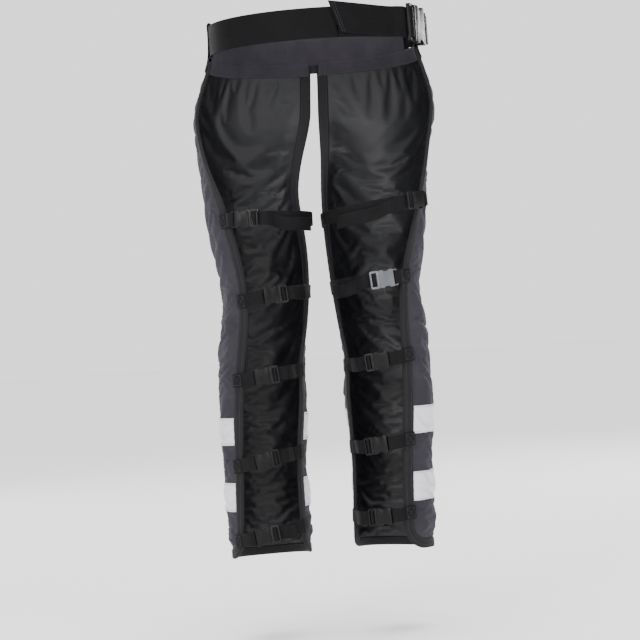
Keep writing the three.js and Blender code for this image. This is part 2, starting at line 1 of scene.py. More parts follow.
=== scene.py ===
# Chainsaw chaps, as worn: a webbing belt with a side-release buckle, a waistband, two padded leg panels with
# bound edges and reflective bands, and ten clip straps that close round the backs of the legs.
# Shapes are worked out in millimetres and written in metres. +Z is up, the wearer faces -Y, +X is the left leg.
import functools
import math
import bmesh
import bpy
import numpy as np
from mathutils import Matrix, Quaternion, Vector


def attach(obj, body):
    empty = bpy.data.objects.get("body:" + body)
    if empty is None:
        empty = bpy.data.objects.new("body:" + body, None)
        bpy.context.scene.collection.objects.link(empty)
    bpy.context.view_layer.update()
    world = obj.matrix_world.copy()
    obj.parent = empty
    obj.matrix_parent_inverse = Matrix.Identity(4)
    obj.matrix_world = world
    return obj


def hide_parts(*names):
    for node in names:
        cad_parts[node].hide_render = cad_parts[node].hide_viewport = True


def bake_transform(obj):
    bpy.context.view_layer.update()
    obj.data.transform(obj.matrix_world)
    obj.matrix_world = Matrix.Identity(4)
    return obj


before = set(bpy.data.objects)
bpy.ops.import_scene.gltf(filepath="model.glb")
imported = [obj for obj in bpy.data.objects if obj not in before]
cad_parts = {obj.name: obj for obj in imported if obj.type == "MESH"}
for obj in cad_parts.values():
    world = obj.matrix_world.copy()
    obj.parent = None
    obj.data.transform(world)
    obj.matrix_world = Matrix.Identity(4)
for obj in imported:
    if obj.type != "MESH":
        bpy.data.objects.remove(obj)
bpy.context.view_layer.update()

MM = 0.001

# ---------------------------------------------------------------- sizes shared with the frame

LEFT, RIGHT = 1, -1
SIDES = {"left": LEFT, "right": RIGHT}
PANEL_TOP, PANEL_BOTTOM = -35, -860
FRONT_DIP, CORNER_R = 8, 36
THIGH_START, THIGH_END = -110, -290
TWIST_DEG, TWIST_TOP, TWIST_BOTTOM = 13, -250, -810
HIP_SWAY, SWAY_TOP, SWAY_BOTTOM = 14, 30, -320
ANKLE_SWAY, ANKLE_SWAY_TOP = 11, -300
HIP_EDGE_DEG, HIP_CENTRE_DEG = -8, 87.5
LOW_ROW = -783  # below this the rows lean towards the hem
# height: middle x, middle y, half width, half depth, outer and inner edge angle of the panel
LEG = np.array([
    [-110, 97, 0, 92, 100, -6, 128],
    [-205, 95, 2, 89, 96, -20, 140],
    [-306, 92, 2, 82, 88, -41, 152],
    [-407, 89, -2, 69, 76, -55, 168],
    [-474, 95, -5, 66, 67, -63, 182],
    [-541, 103, 0, 65, 62, -66, 196],
    [-608, 104, 5, 66, 62, -65, 200],
    [-709, 105, 8, 61, 58, -64, 200],
    [-810, 103, 8, 61, 60, -61, 198],
    [-880, 102, 6, 63, 63, -60, 196],
], float)
# height: half width and half depth of the torso
TORSO = np.array([
    [40, 168, 112], [0, 168, 112], [-35, 171, 114], [-70, 182, 117],
    [-104, 192, 120], [-138, 196, 122], [-205, 190, 122], [-300, 180, 118],
], float)
# clip straps: height and angle of the buckle's middle, its height above the leg, slope, and the loose tail's
# length, how far it hangs below the strap, and how far it stands off
STRAPS = {
    "left": [
        dict(z=-305, deg=-75, lift=14.5, slope=1, tail=104, hang=11, off=4),
        dict(z=-431, deg=-100, lift=6.2, slope=-5, tail=46, hang=1.5, off=0.8),
        dict(z=-562, deg=-95, lift=8.2, slope=-6, tail=34, hang=1.2, off=0.8),
        dict(z=-699, deg=-93, lift=8.2, slope=-8.5, tail=28, hang=-1.0, off=1.0),
        dict(z=-822, deg=-86, lift=6.2, slope=-8.5, tail=30, hang=1.6, off=0.8),
    ],
    "right": [
        dict(z=-292, deg=-44, lift=15.5, slope=-7, tail=122, hang=12, off=4),
        dict(z=-417, deg=-80, lift=10.5, slope=-5, tail=84, hang=9, off=3),
        dict(z=-550, deg=-101, lift=7.2, slope=-6, tail=32, hang=1.4, off=0.8),
        dict(z=-687, deg=-109, lift=6.2, slope=-6, tail=26, hang=-1.2, off=0.8),
        dict(z=-804, deg=-107, lift=6.2, slope=-3, tail=32, hang=1.5, off=0.8),
    ],
}
# the one buckle given light grey plastic: painted glare of the soft box on its flat faces
PAINTED_GLARE_CLIP = ("right", 2)
CLIP = dict(bar_end=-30.5, bar=3.5, plate=4.4, ladder_end=15)
BELT_CLIP = dict(bar_end=-51, bar=4.5, plate=6, ladder_end=25, thick=12)
BELT_CLIP_DEG = 15
BELT_WIDTH, BELT_THICK, BELT_MIDDLE = 50, 2.2, 4.2
WEB_WIDTH, WEB_THICK, WEB_ON_LEG = 22, 1.3, 2.5
BAND_HEIGHT, BAND_Z = 48, (-650, -759)

# ---------------------------------------------------------------- the wearer's shape, as the frame has it


def unit(v):
    return v / np.linalg.norm(v, axis=-1, keepdims=True)


def smooth(t):
    """3t^2 - 2t^3 between 0 and 1, flat outside."""
    t = np.clip(t, 0, 1)
    return t * t * (3 - 2 * t)


def mix(a, b, t):
    return a + (b - a) * t


def lengths(points):
    """Distance along a line of points, from 0 at its first."""
    return np.r_[0, np.cumsum(np.linalg.norm(np.diff(points, axis=0), axis=-1))]


def track(table, z):
    """Cubic Hermite curve through a table by height, its slopes those of the chords between neighbouring rows."""
    rows = np.arange(len(table))
    before, after = np.maximum(rows - 1, 0), np.minimum(rows + 1, len(table) - 1)
    slope = (table[after] - table[before]) / (table[after, :1] - table[before, :1])
    z = np.asarray(z, float)
    k = np.clip(np.searchsorted(-table[:, 0], -z, side="right") - 1, 0, len(table) - 2)
    a, b = table[k], table[k + 1]
    step = (b - a)[..., :1]
    t = np.clip((z[..., None] - a[..., :1]) / step, 0, 1)
    value = mix(a, b, t * t * (3 - 2 * t)) + step * t * (1 - t) * ((1 - t) * slope[k] - t * slope[k + 1])
    return np.moveaxis(value[..., 1:], -1, 0)


def twist_at(z):
    return TWIST_DEG * (1 - 2 * np.clip((TWIST_TOP - z) / (TWIST_TOP - TWIST_BOTTOM), 0, 1))


def sway_at(z):
    hips = HIP_SWAY * smooth((SWAY_TOP - z) / (SWAY_TOP - SWAY_BOTTOM))
    return hips + ANKLE_SWAY * smooth((ANKLE_SWAY_TOP - z) / (ANKLE_SWAY_TOP - PANEL_BOTTOM))


def on_leg(side, deg, z, lift):
    """A point of the ellipse round the leg at a height, grown by lift; 0 degrees is outside, 90 the front."""
    z = np.asarray(z, float)
    cx, cy, rx, ry = track(LEG, z)[:4]
    a = np.radians(deg)
    x = sway_at(z) + side * (cx + (rx + lift) * np.cos(a))
    return np.stack([x, cy - (ry + lift) * np.sin(a), z + 0 * a], -1)


def skin(side, u, z):
    """The panel's inner face: the torso's ellipse at the hips, turning into the leg's ellipse down the thigh."""
    outer_deg, inner_deg = track(LEG, z)[4:]
    twist = side * twist_at(z)
    leg = on_leg(side, mix(outer_deg - twist, inner_deg - twist, u), z, 0)
    half_width, half_depth = track(TORSO, z)
    hip = np.radians(mix(HIP_EDGE_DEG, HIP_CENTRE_DEG, u))
    torso = np.stack([sway_at(z) + side * half_width * np.cos(hip), -half_depth * np.sin(hip), z + 0 * u], -1)
    return mix(torso, leg, smooth((THIGH_START - z) / (THIGH_START - THIGH_END))[..., None])


def on_panel(side, u, z, lift, normals=False):
    """The point that stands lift above the skin, along the cross product of its two directions."""
    u, z, lift = np.broadcast_arrays(np.asarray(u, float), np.asarray(z, float), np.asarray(lift, float))
    along = skin(side, u + 0.004, z) - skin(side, u - 0.004, z)
    down = skin(side, u, z - 1.0) - skin(side, u, z + 1.0)
    out = side * unit(np.cross(along, down))
    place = skin(side, u, z) + out * lift[..., None]
    return (place, out) if normals else place


def panel_width(side, z):
    """Length of the skin round the leg at a height, in 24 chords."""
    z = np.asarray(z, float)
    u = np.linspace(0, 1, 25)
    row = skin(side, np.broadcast_to(u, z.shape + u.shape), np.broadcast_to(z[..., None], z.shape + u.shape))
    return np.linalg.norm(np.diff(row, axis=-2), axis=-1).sum(-1)


def hem_z(side, u):
    """The hem's height: lower over the instep by a squared sine, with quarter circles at both corners."""
    edge = np.maximum(0, CORNER_R - np.minimum(u, 1 - u) * panel_width(side, PANEL_BOTTOM))
    dip = FRONT_DIP * np.sin(np.pi * u) ** 2
    return PANEL_BOTTOM - dip + CORNER_R - np.sqrt(CORNER_R**2 - np.minimum(edge, CORNER_R) ** 2)


def panel_u(side, points, lift, guess):
    """Where across the panel points near it lie: six Newton steps along the panel's own direction."""
    u = np.full(points.shape[:-1], float(guess))
    for _ in range(6):
        here = on_panel(side, u, points[..., 2], lift)
        along = on_panel(side, u + 0.002, points[..., 2], lift) - here
        u = u + 0.002 * ((points - here) * along).sum(-1) / (along**2).sum(-1)
    return u


def on_waist(deg, z, lift):
    """A point of the torso's ellipse: 0 degrees is the right hip, 90 the back, 180 the left hip, 270 the front."""
    z = np.asarray(z, float) + 0 * np.asarray(deg, float)
    half_width, half_depth = track(TORSO, z)
    a = np.radians(deg)
    return np.stack([-(half_width + lift) * np.cos(a), (half_depth + lift) * np.sin(a), z], -1)


# ---------------------------------------------------------------- meshes


def put(name, data):
    """A new object in the scene."""
    made = bpy.data.objects.new(name, data)
    bpy.context.scene.collection.objects.link(made)
    return made


def read_line(points, run, at):
    """Places at distances along a line of points, given the distance of each point."""
    return np.stack([np.interp(at, run, points[:, c]) for c in range(3)], -1)


def write_mesh(name, points, quads, materials, uv=None, face_material=None):
    """One object at the origin from points in millimetres and faces of four corners, turned to face outwards."""
    v = points.reshape(-1, 3) * MM
    a, b, c, d = (v[quads[:, k]] for k in range(4))
    volume = (np.cross(a, b) * c).sum() + (np.cross(a, c) * d).sum()
    if volume < 0:
        quads = quads[:, ::-1]
    mesh = bpy.data.meshes.new(name)
    mesh.vertices.add(len(v))
    mesh.vertices.foreach_set("co", v.astype(np.float32).ravel())
    mesh.loops.add(quads.size)
    mesh.loops.foreach_set("vertex_index", quads.astype(np.int32).ravel())
    mesh.polygons.add(len(quads))
    mesh.polygons.foreach_set("loop_start", np.arange(0, quads.size, 4, dtype=np.int32))
    if face_material is not None:
        mesh.polygons.foreach_set("material_index", face_material.astype(np.int32))
    mesh.update(calc_edges=True)
    if uv is not None:
        layer = mesh.uv_layers.new(name="cloth")
        layer.data.foreach_set("uv", (uv.reshape(-1, 2)[quads.ravel()] * MM).astype(np.float32).ravel())
    mesh.polygons.foreach_set("use_smooth", np.ones(len(quads), bool))
    for material in materials if isinstance(materials, list) else [materials]:
        mesh.materials.append(material)
    mesh.validate()
    return put(name, mesh)


def ring_quads(rings, size):
    """Faces between rings of points, and ladders of faces over both ends, each section being out and back."""
    r, k = np.meshgrid(np.arange(rings - 1), np.arange(size), indexing="ij")
    here, there = r * size, (r + 1) * size
    wall = np.stack([here + k, here + (k + 1) % size, there + (k + 1) % size, there + k], -1).reshape(-1, 4)
    k = np.arange(size // 2 - 1)
    cap = np.stack([k, size - 1 - k, size - 2 - k, k + 1], -1)
    return np.concatenate([wall, cap, cap[:, ::-1] + (rings - 1) * size])


def ring_solid(name, rings, material, across):
    """A closed body through rings (rings x section x 3); its map runs across the section and along the rings."""
    count, size = rings.shape[:2]
    middle = rings.mean(axis=1)
    run = lengths(middle)
    uv = np.stack(np.broadcast_arrays(across, run[:, None]), -1)
    return write_mesh(name, rings, ring_quads(count, size), material, uv)


def smooth_path(points, longest=3.5, turn_deg=11):
    """Cubic Hermite curve through the points with parabolic slopes, sampled closer where it turns more."""
    p = np.asarray(points, float)
    t = lengths(p)
    m = np.gradient(p, t, axis=0)
    fine = np.linspace(0, t[-1], max(60, int(t[-1] / 0.2)))
    k = np.clip(np.searchsorted(t, fine, side="right") - 1, 0, len(t) - 2)
    h = (t[k + 1] - t[k])[:, None]
    x = (fine - t[k])[:, None] / h
    curve = (
        (1 + 2 * x) * (1 - x) ** 2 * p[k]
        + x * (1 - x) ** 2 * h * m[k]
        + x**2 * (3 - 2 * x) * p[k + 1]
        + x**2 * (x - 1) * h * m[k + 1]
    )
    step = np.diff(curve, axis=0)
    length = np.linalg.norm(step, axis=-1)
    way = step / length[:, None]
    turning = np.r_[0, np.arccos(np.clip((way[1:] * way[:-1]).sum(-1), -1, 1))]
    cost = np.r_[0, np.cumsum(length / longest + turning / math.radians(turn_deg))]
    even = np.linspace(0, cost[-1], int(np.ceil(cost[-1])) + 1)
    return read_line(curve, cost, even)


def web_section(width, thick, middle=7):
    """Places across a webbing and its half thickness there, with round selvedges."""
    r = thick / 2
    turn = np.radians([12, 38, 64, 90])
    edge_x, edge_t = width / 2 - r + r * np.cos(turn), r * np.sin(turn)
    inner = np.linspace(-(width / 2 - r), width / 2 - r, middle)[1:-1]
    return np.r_[-edge_x, inner, edge_x[::-1]], np.r_[edge_t, np.full(len(inner), r), edge_t[::-1]]


def out_and_back(x):
    return np.r_[x, x[::-1]]


def free_rings(path, across, section):
    """Sections of webbing along a path, its width along `across`, its faces square to that and the path."""
    x, t = section
    across = np.broadcast_to(across, path.shape)
    tangent = unit(np.gradient(path, axis=0))
    normal = unit(np.cross(tangent, across))
    places = path[:, None] + across[:, None] * out_and_back(x)[:, None]
    return places + normal[:, None] * np.r_[t, -t[::-1]][:, None]


def laid_rings(side, path, across, lift, guess, section):
    """Sections of webbing laid on the panel, every point of their width at the same height above its skin."""
    x, t = section
    places = path[:, None] + across * out_and_back(x)[:, None]
    u = panel_u(side, places, lift, guess)
    return on_panel(side, u, places[..., 2], np.broadcast_to(lift, u.shape) + np.r_[t, -t[::-1]])


def fold_section(line, thick):
    """Outline of a folded cloth: its centre line shifted half a thickness to one side, and back on the other."""
    way = unit(np.gradient(line, axis=0))
    off = np.stack([-way[:, 1], way[:, 0]], -1) * thick / 2
    return np.concatenate([line + off, (line - off)[::-1]])


def rounded_line(corners):
    """A line through corners, smoothed like a folded cloth, for use as a section."""
    p = np.c_[np.asarray(corners, float), np.zeros(len(corners))]
    return smooth_path(p, longest=4.0, turn_deg=16)[:, :2]


STITCH_PITCH, STITCH_LONG, STITCH_WIDE, STITCH_HIGH = 3.3, 2.5, 0.85, 0.5


def stitch_seed():
    """One stitch: a lens of thread, two poles and three rings of six, sunk at both ends."""
    turn = np.arange(6) * np.pi / 3
    rings = [
        [(a, r * np.cos(q), r * np.sin(q) + lift) for q in turn]
        for a, r, lift in ((-0.62, 0.8, -0.25), (0, 1, 0.15), (0.62, 0.8, -0.25))
    ]
    points = np.array([(-1, 0, -0.7)] + [p for ring in rings for p in ring] + [(1, 0, -0.7)])
    k = np.arange(6)
    n = (k + 1) % 6
    walls = [np.stack([1 + 6 * r + k, 1 + 6 * r + n, 7 + 6 * r + n, 7 + 6 * r + k], -1) for r in (0, 1)]
    # each pole's three faces take two sides of the ring at a time
    e = np.arange(0, 6, 2)
    start = np.stack([0 * e, 1 + (e + 2) % 6, 1 + e + 1, 1 + e], -1)
    end = np.stack([0 * e + 19, 13 + e, 13 + e + 1, 13 + (e + 2) % 6], -1)
    return points, np.concatenate([*walls, start, end])


def stitching(name, runs, material, pitch=STITCH_PITCH):
    """Rows of stitches along runs of (points, normals), evenly spaced by length."""
    seed, seed_quads = stitch_seed()
    places, ways, normals = [], [], []
    for points, normal in runs:
        run = lengths(points)
        count = max(2, int(run[-1] / pitch))
        at = (np.arange(count) + 0.5) * run[-1] / count
        places.append(read_line(points, run, at))
        ways.append(unit(read_line(points, run, at + 0.6) - read_line(points, run, at - 0.6)))
        normals.append(read_line(normal, run, at))
    place, way, normal = (np.concatenate(x) for x in (places, ways, normals))
    normal = unit(normal - way * (normal * way).sum(-1, keepdims=True))
    aside = np.cross(way, normal)
    points = (
        place[:, None]
        + way[:, None] * seed[:, :1] * STITCH_LONG / 2
        + aside[:, None] * seed[:, 1:2] * STITCH_WIDE / 2
        + normal[:, None] * seed[:, 2:] * STITCH_HIGH
    )
    quads = (seed_quads[None] + len(seed) * np.arange(len(place))[:, None, None]).reshape(-1, 4)
    return write_mesh(name, points, quads, material)


# ---------------------------------------------------------------- materials


def linear(hex_colour):
    """sRGB hex to linear red, green, blue and alpha."""
    parts = [int(hex_colour[k : k + 2], 16) / 255 for k in (1, 3, 5)]
    return [p / 12.92 if p <= 0.04045 else ((p + 0.055) / 1.055) ** 2.4 for p in parts] + [1.0]


def add(tree, kind, inputs=(), **settings):
    """Adds a node, sets its settings, and fills each input with a value or a link."""
    made = tree.nodes.new(kind)
    for key, value in settings.items():
        setattr(made, key, value)
    for key, value in dict(inputs).items():
        if isinstance(value, bpy.types.NodeSocket):
            tree.links.new(value, made.inputs[key])
        else:
            made.inputs[key].default_value = value
    return made


def maths(tree, operation, *values):
    """The output of one operation on numbers or links."""
    return add(tree, "ShaderNodeMath", dict(enumerate(values)), operation=operation).outputs[0]


def spread(tree, value, low, high, to_low=0.0, to_high=1.0):
    """A value mapped from one span to another."""
    spans = {"From Min": low, "From Max": high, "To Min": to_low, "To Max": to_high}
    return add(tree, "ShaderNodeMapRange", {"Value": value, **spans}).outputs[0]


def noise(tree, vector, size_mm, **sockets):
    return add(tree, "ShaderNodeTexNoise", {"Vector": vector, "Scale": 1 / (size_mm * MM), **sockets}).outputs[0]


def blend_colours(tree, share, first, second):
    # the colour sockets of a colour mix are the last pair
    inputs = {"Factor": share, 6: linear(first), 7: linear(second)}
    return add(tree, "ShaderNodeMix", inputs, data_type="RGBA").outputs[2]


def new_material(name):
    material = bpy.data.materials.new(name)
    material.use_nodes = True
    material.node_tree.nodes.clear()
    return material, material.node_tree


def finish_material(tree, colour, roughness, height, bump_mm, strength=1.0, **sockets):
    """The surface shader and its output; height is in shares of bump_mm."""
    bump = add(tree, "ShaderNodeBump", {"Height": height, "Distance": bump_mm * MM, "Strength": strength})
    shader = add(tree, "ShaderNodeBsdfPrincipled", {"Base Color": colour, "Roughness": roughness,
                                                   "Normal": bump.outputs[0], **sockets})
    add(tree, "ShaderNodeOutputMaterial", {"Surface": shader.outputs[0]})


def waves(tree, vector, pitch_mm):
    """Sines of the map's two directions with the given pitches."""
    pitch_x, pitch_y = pitch_mm
    scale = [2 * math.pi / (pitch_x * MM), 2 * math.pi / (pitch_y * MM), 0]
    turned = add(tree, "ShaderNodeVectorMath", {0: vector, 1: scale}, operation="MULTIPLY")
    sines = add(tree, "ShaderNodeVectorMath", {0: turned.outputs[0]}, operation="SINE")
    return add(tree, "ShaderNodeSeparateXYZ", {0: sines.outputs[0]}).outputs


def cloth_material(name, dark, light, roughness, pitch_mm, bump_mm, kind, specular, sheen=None, patch_mm=35,
                   **sockets):
    """Cloth on the piece's own map: plain weave, ribs or herringbone; or twisted thread on its coordinates.
    The sheen is its weight, its roughness and its tint."""
    material, tree = new_material(name)
    obj = add(tree, "ShaderNodeTexCoord").outputs["Object"]
    cloth_map = obj if kind == "twist" else add(tree, "ShaderNodeUVMap", uv_map="cloth").outputs[0]
    if kind == "herringbone":
        # picks run in slanting rows that turn round every pitch across the webbing
        parts = add(tree, "ShaderNodeSeparateXYZ", {0: cloth_map}).outputs
        column = maths(tree, "PINGPONG", parts[0], pitch_mm[0] * MM)
        joined = add(tree, "ShaderNodeCombineXYZ", {0: column, 1: maths(tree, "ADD", column, parts[1])})
        wave = waves(tree, joined.outputs[0], (pitch_mm[0] * 2, pitch_mm[1]))[1]
    elif kind == "ribs":
        wave = waves(tree, cloth_map, pitch_mm)[1]
    else:
        # over and under: the product of the two thread directions
        both = waves(tree, cloth_map, pitch_mm)
        wave = maths(tree, "MULTIPLY", both[0], both[1])
    height = maths(tree, "MULTIPLY_ADD", wave, 0.5, 0.5)
    patches = noise(tree, obj, patch_mm, Detail=5.0, Roughness=0.62)
    slub = noise(tree, obj, SLUB_MM, Detail=2.0)
    shade = maths(tree, "MULTIPLY_ADD", slub, 0.3, maths(tree, "MULTIPLY_ADD", height, 0.35, patches))
    colour = blend_colours(tree, spread(tree, shade, 0.45, 1.15), dark, light)
    rough = spread(tree, patches, 0.3, 0.7, roughness - 0.06, roughness + 0.06)
    relief = maths(tree, "MULTIPLY_ADD", slub, 0.5, height)
    if sheen:
        sockets.update(zip(("Sheen Weight", "Sheen Roughness", "Sheen Tint"), sheen))
    sockets["Specular IOR Level"] = specular
    finish_material(tree, colour, rough, relief, bump_mm, 0.8, **sockets)
    return material


def plastic_material(name, base, worn, roughness, **sockets):
    """Injection-moulded plastic: an even fine spark-eroded grain, and edges rubbed a little paler."""
    material, tree = new_material(name)
    obj = add(tree, "ShaderNodeTexCoord").outputs["Object"]
    grain = noise(tree, obj, GRAIN_MM, Detail=3.0)
    scuff = noise(tree, obj, SCUFF_MM, Detail=4.0)
    edges = add(tree, "ShaderNodeNewGeometry").outputs["Pointiness"]
    rubbed = maths(tree, "MULTIPLY", spread(tree, edges, 0.51, 0.62, to_high=0.7), scuff)
    colour = blend_colours(tree, rubbed, base, worn)
    rough = spread(tree, scuff, 0.3, 0.7, roughness - 0.05, roughness + 0.07)
    finish_material(tree, colour, rough, grain, GRAIN_DEEP, 0.6, IOR=1.48, **sockets)
    return material


SLUB_MM = 2.2  # the size of uneven places in a thread
GRAIN_MM, GRAIN_DEEP, SCUFF_MM = 0.5, 0.03, 9  # the moulded grain's size and depth, and the size of rubbed places

# Plain-weave polyester, charcoal with a little violet: matt, with a soft bloom where it turns away. The threads
# are 0.5 mm apart; they are drawn 1.3 mm apart so that they show.
shell_cloth = cloth_material(
    "plain_weave_polyester", "#1e1c21", "#353239", 0.84, (1.3, 1.3), 0.2, "plain",
    0.22, (0.12, 0.5, linear("#b9b6c6")))
# Nylon satin, black: smooth, and glossy along its folds. Its threads are drawn 0.9 mm apart.
lining_cloth = cloth_material(
    "nylon_satin", "#0a0a0c", "#17171b", 0.42, (0.9, 1.8), 0.08, "plain",
    0.3, (0.05, 0.3, linear("#9a9aa6")))
# Grosgrain tape: fine ribs across its length, 1 mm apart, drawn 1.5 mm apart.
binding_tape = cloth_material(
    "polyester_grosgrain", "#0f0e10", "#1e1c1f", 0.75, (1.5, 1.5), 0.25, "ribs",
    0.2, (0.06, 0.4, linear("#a7a4ad")))
# Polypropylene webbing, 22 mm: herringbone of picks 1.4 mm apart that turns round every 2.75 mm.
strap_web = cloth_material(
    "polypropylene_webbing", "#0a090a", "#191719", 0.66, (2.75, 1.4), 0.32, "herringbone",
    0.1, (0.02, 0.35, linear("#b0acae")))
# Belt webbing, 50 mm: close flat ribs along which it shines like satin.
belt_web = cloth_material(
    "polyester_belt_webbing", "#070708", "#121113", 0.56, (3.1, 1.5), 0.24, "herringbone",
    0.08, (0.01, 0.3, linear("#a8a6ac")))
# Glass-bead tape: pale grey, its beads far too fine to see, so it is a close, even grain with a hard sheen.
bead_tape = cloth_material(
    "glass_bead_tape", "#c4c4cb", "#dddde2", 0.36, (1.1, 1.1), 0.05, "plain",
    0.6, patch_mm=60, **{"IOR": 1.5, "Coat Weight": 0.15, "Coat Roughness": 0.3})
# Bonded polyester thread: round, a shade paler than the tape it is sewn through.
thread = cloth_material(
    "polyester_thread", "#29272b", "#3e3c41", 0.55, (0.8, 0.8), 0.05, "twist",
    0.3, (0.05,))
# Acetal, black, moulded: half gloss, with a fine grain.
black_acetal = plastic_material("black_acetal", "#09090a", "#2a2a2d", 0.36, **{"Specular IOR Level": 0.16})
# Acetal coloured silver grey as painted glare: a light grey that stands in for the soft box reflected in one
# buckle's flat faces. That buckle is black acetal like the rest.
painted_glare_acetal = plastic_material("painted_glare_acetal", "#4c4e52", "#83858a", 0.4)

# ---------------------------------------------------------------- leg panels

EDGE_THICK = 3.6  # shell and lining together, under the binding
FULL_THICK = 8.0  # with the protective pack between them
PAD_FROM, PAD_FULL = 15, 44  # the pack's edge, from the panel's edge
BIND_REACH, BIND_THICK = 13.5, 1.0
BIND_TOP = EDGE_THICK + 0.1 + BIND_THICK
ON_BINDING = BIND_TOP + 0.15 + WEB_THICK / 2

MOST_OUT, MOST_IN = 8.0, 2.8  # the tallest fold and the deepest hollow

panels = {}


def row_heights(side, u, v):
    """Height of each row: level down to the lowest row, then leaning evenly to the hem."""
    level = PANEL_TOP + (LOW_ROW - PANEL_TOP) * np.minimum(v / 0.9, 1)
    return level + (hem_z(side, u) - LOW_ROW) * np.maximum(0, (v - 0.9) / 0.1)


def crease(s, z, s0, z0, deg, length, width, height, bow=0.0):
    """A soft ridge along a slightly bowed line: a bell across it and a squared cosine along it."""
    a = math.radians(deg)
    along = (s - s0) * math.cos(a) + (z - z0) * math.sin(a)
    aside = -(s - s0) * math.sin(a) + (z - z0) * math.cos(a) - bow * (along / length) ** 2
    ends = np.cos(np.clip(along / length, -1, 1) * np.pi / 2) ** 2
    return height * np.exp(-((aside / width) ** 2)) * ends


# rows of folds: how many, and the spans of each one's place (s and z), angle, length, width, height and bow
FOLDS = (
    (13, ((15, 210), (-400, -90), (-74, -38), (50, 120), (6, 12), (0.9, 2.3), (-14, 14))),
    (11, ((20, 250), (-720, -400), (-40, 40), (35, 85), (5, 10), (-1.3, 1.8), (-12, 12))),
    (7, ((40, 260), (-840, -740), (-25, 25), (40, 90), (5, 9), (0.8, 1.9), (-8, 8))),
)


def folds(side_name, s, t, z):
    """How far the shell stands off its even shape: tension fans at each clip strap, drape folds down the
    thigh, knee and ankle creases, and slow unevenness. s and t are the distances from the two edges."""
    rng = np.random.default_rng(11 if side_name == "left" else 23)
    total = np.zeros_like(z)
    for spec in STRAPS[side_name]:
        for edge, height in ((s, 2.0), (t, 1.6)):
            r = np.hypot(edge, z - spec["z"])
            turn = np.arctan2(z - spec["z"], edge)
            fan = np.cos(turn * 5 + rng.uniform(-1, 1)) * smooth(r / 26) * np.exp(-r / 62)
            total += height * fan
            # the strap draws the edge in, and the cloth bulges half way to the next one
            total -= 1.6 * np.exp(-(((z - spec["z"]) / 24) ** 2)) * np.exp(-edge / 70)
    for z0 in (-355, -490, -628, -760):
        total += 1.5 * np.exp(-(((z - z0) / 34) ** 2)) * (np.exp(-s / 90) + 0.7 * np.exp(-t / 90))
    # drape folds down the thigh from the hip, creases behind the knee, and creases over the instep
    for count, spans in FOLDS:
        for _ in range(count):
            total += crease(s, z, *(rng.uniform(*span) for span in spans))
    for _ in range(7):
        deg, pitch, phase = rng.uniform(0, 180), rng.uniform(48, 150), rng.uniform(0, 6.28)
        a = math.radians(deg)
        total += 0.38 * np.sin((s * math.cos(a) + z * math.sin(a)) * 2 * np.pi / pitch + phase)
    return total


DRAPE_COLUMNS, DRAPE_ROWS, DRAPE_FRAMES, DRAPE_SPARE = 52, 134, 26, 0.045


def even_lift(edge, z):
    """The shell's even height: thin under the binding, full where the pack lies inside."""
    even = mix(EDGE_THICK, FULL_THICK, smooth((edge - PAD_FROM) / (PAD_FULL - PAD_FROM)))
    return mix(EDGE_THICK + 1, even, smooth((PANEL_TOP - 4 - z) / 34))


def panel_places(side, u, v):
    """Grid of the panel: heights, and distances from the outer edge, the inner edge and the nearest edge."""
    uu, vv = np.meshgrid(u, v)
    zz = row_heights(side, uu, vv)
    row_width = panel_width(side, zz[:, len(u) // 2])[:, None]
    s, t = uu * row_width, (1 - uu) * row_width
    hem_gap = zz - hem_z(side, uu)
    return uu, zz, s, t, hem_gap, np.minimum(np.minimum(s, t), hem_gap + 4)


def drape(side_name):
    """Cloth simulation of the shell: a sheet cut a little larger than the panel, held at its bound edges and
    at the clip straps, settles under its own weight on the pack. Gives its height over the even shape on the
    grid (rows x columns), which the fine panel then takes up."""
    side = SIDES[side_name]
    u, v = np.linspace(0, 1, DRAPE_COLUMNS), np.linspace(0, 1, DRAPE_ROWS)
    uu, zz, s, t, hem_gap, edge = panel_places(side, u, v)
    even = even_lift(edge, zz)
    start = 0.5 * folds(side_name, s, t, zz) * smooth((edge - 12) / 26)
    rest, out = on_panel(side, uu, zz, even + 0.6, normals=True)
    quads = sheet_quads(DRAPE_ROWS, DRAPE_COLUMNS)
    sheet = write_mesh("settling_shell", rest + out * start[..., None], quads, shell_cloth)
    pack = write_mesh("settling_pack", on_panel(side, uu, zz, even - 1.6), quads, shell_cloth)
    pinned = sheet.vertex_groups.new(name="held")
    held = (edge < 15) | (zz > PANEL_TOP - 12)
    for spec in STRAPS[side_name]:
        held |= (np.abs(zz - spec["z"]) < 13) & (np.minimum(s, t) < 24)
    pinned.add([int(k) for k in np.flatnonzero(held)], 1.0, "REPLACE")
    pack.modifiers.new("pack", "COLLISION")
    pack.collision.thickness_outer = 0.0008
    pack.collision.cloth_friction = 12
    cloth = sheet.modifiers.new("settle", "CLOTH")
    for key, value in dict(
        quality=6, mass=0.12, air_damping=2.0, tension_stiffness=14, compression_stiffness=14, shear_stiffness=6,
        bending_stiffness=6.0, tension_damping=8, compression_damping=8, shrink_min=-DRAPE_SPARE,
        vertex_group_mass="held",
    ).items():
        setattr(cloth.settings, key, value)
    cloth.collision_settings.distance_min = 0.0008
    cloth.collision_settings.use_self_collision = False
    cloth.point_cache.frame_start, cloth.point_cache.frame_end = 1, DRAPE_FRAMES
    scene = bpy.context.scene
    scene.frame_start, scene.frame_end = 1, DRAPE_FRAMES
    for number in range(1, DRAPE_FRAMES + 1):
        scene.frame_set(number)
    settled = sheet.evaluated_get(bpy.context.evaluated_depsgraph_get()).data
    place = np.empty(rest.size, np.float32)
    settled.vertices.foreach_get("co", place)
    stand = ((place.reshape(rest.shape) / MM - rest) * out).sum(-1)
    scene.frame_set(1)
    for piece in (sheet, pack):
        bpy.data.objects.remove(piece, do_unlink=True)
    return stand


def sheet_quads(rows, columns):
    r, k = np.meshgrid(np.arange(rows - 1), np.arange(columns - 1), indexing="ij")
    a = (r * columns + k).ravel()
    return np.stack([a, a + 1, a + columns + 1, a + columns], -1)


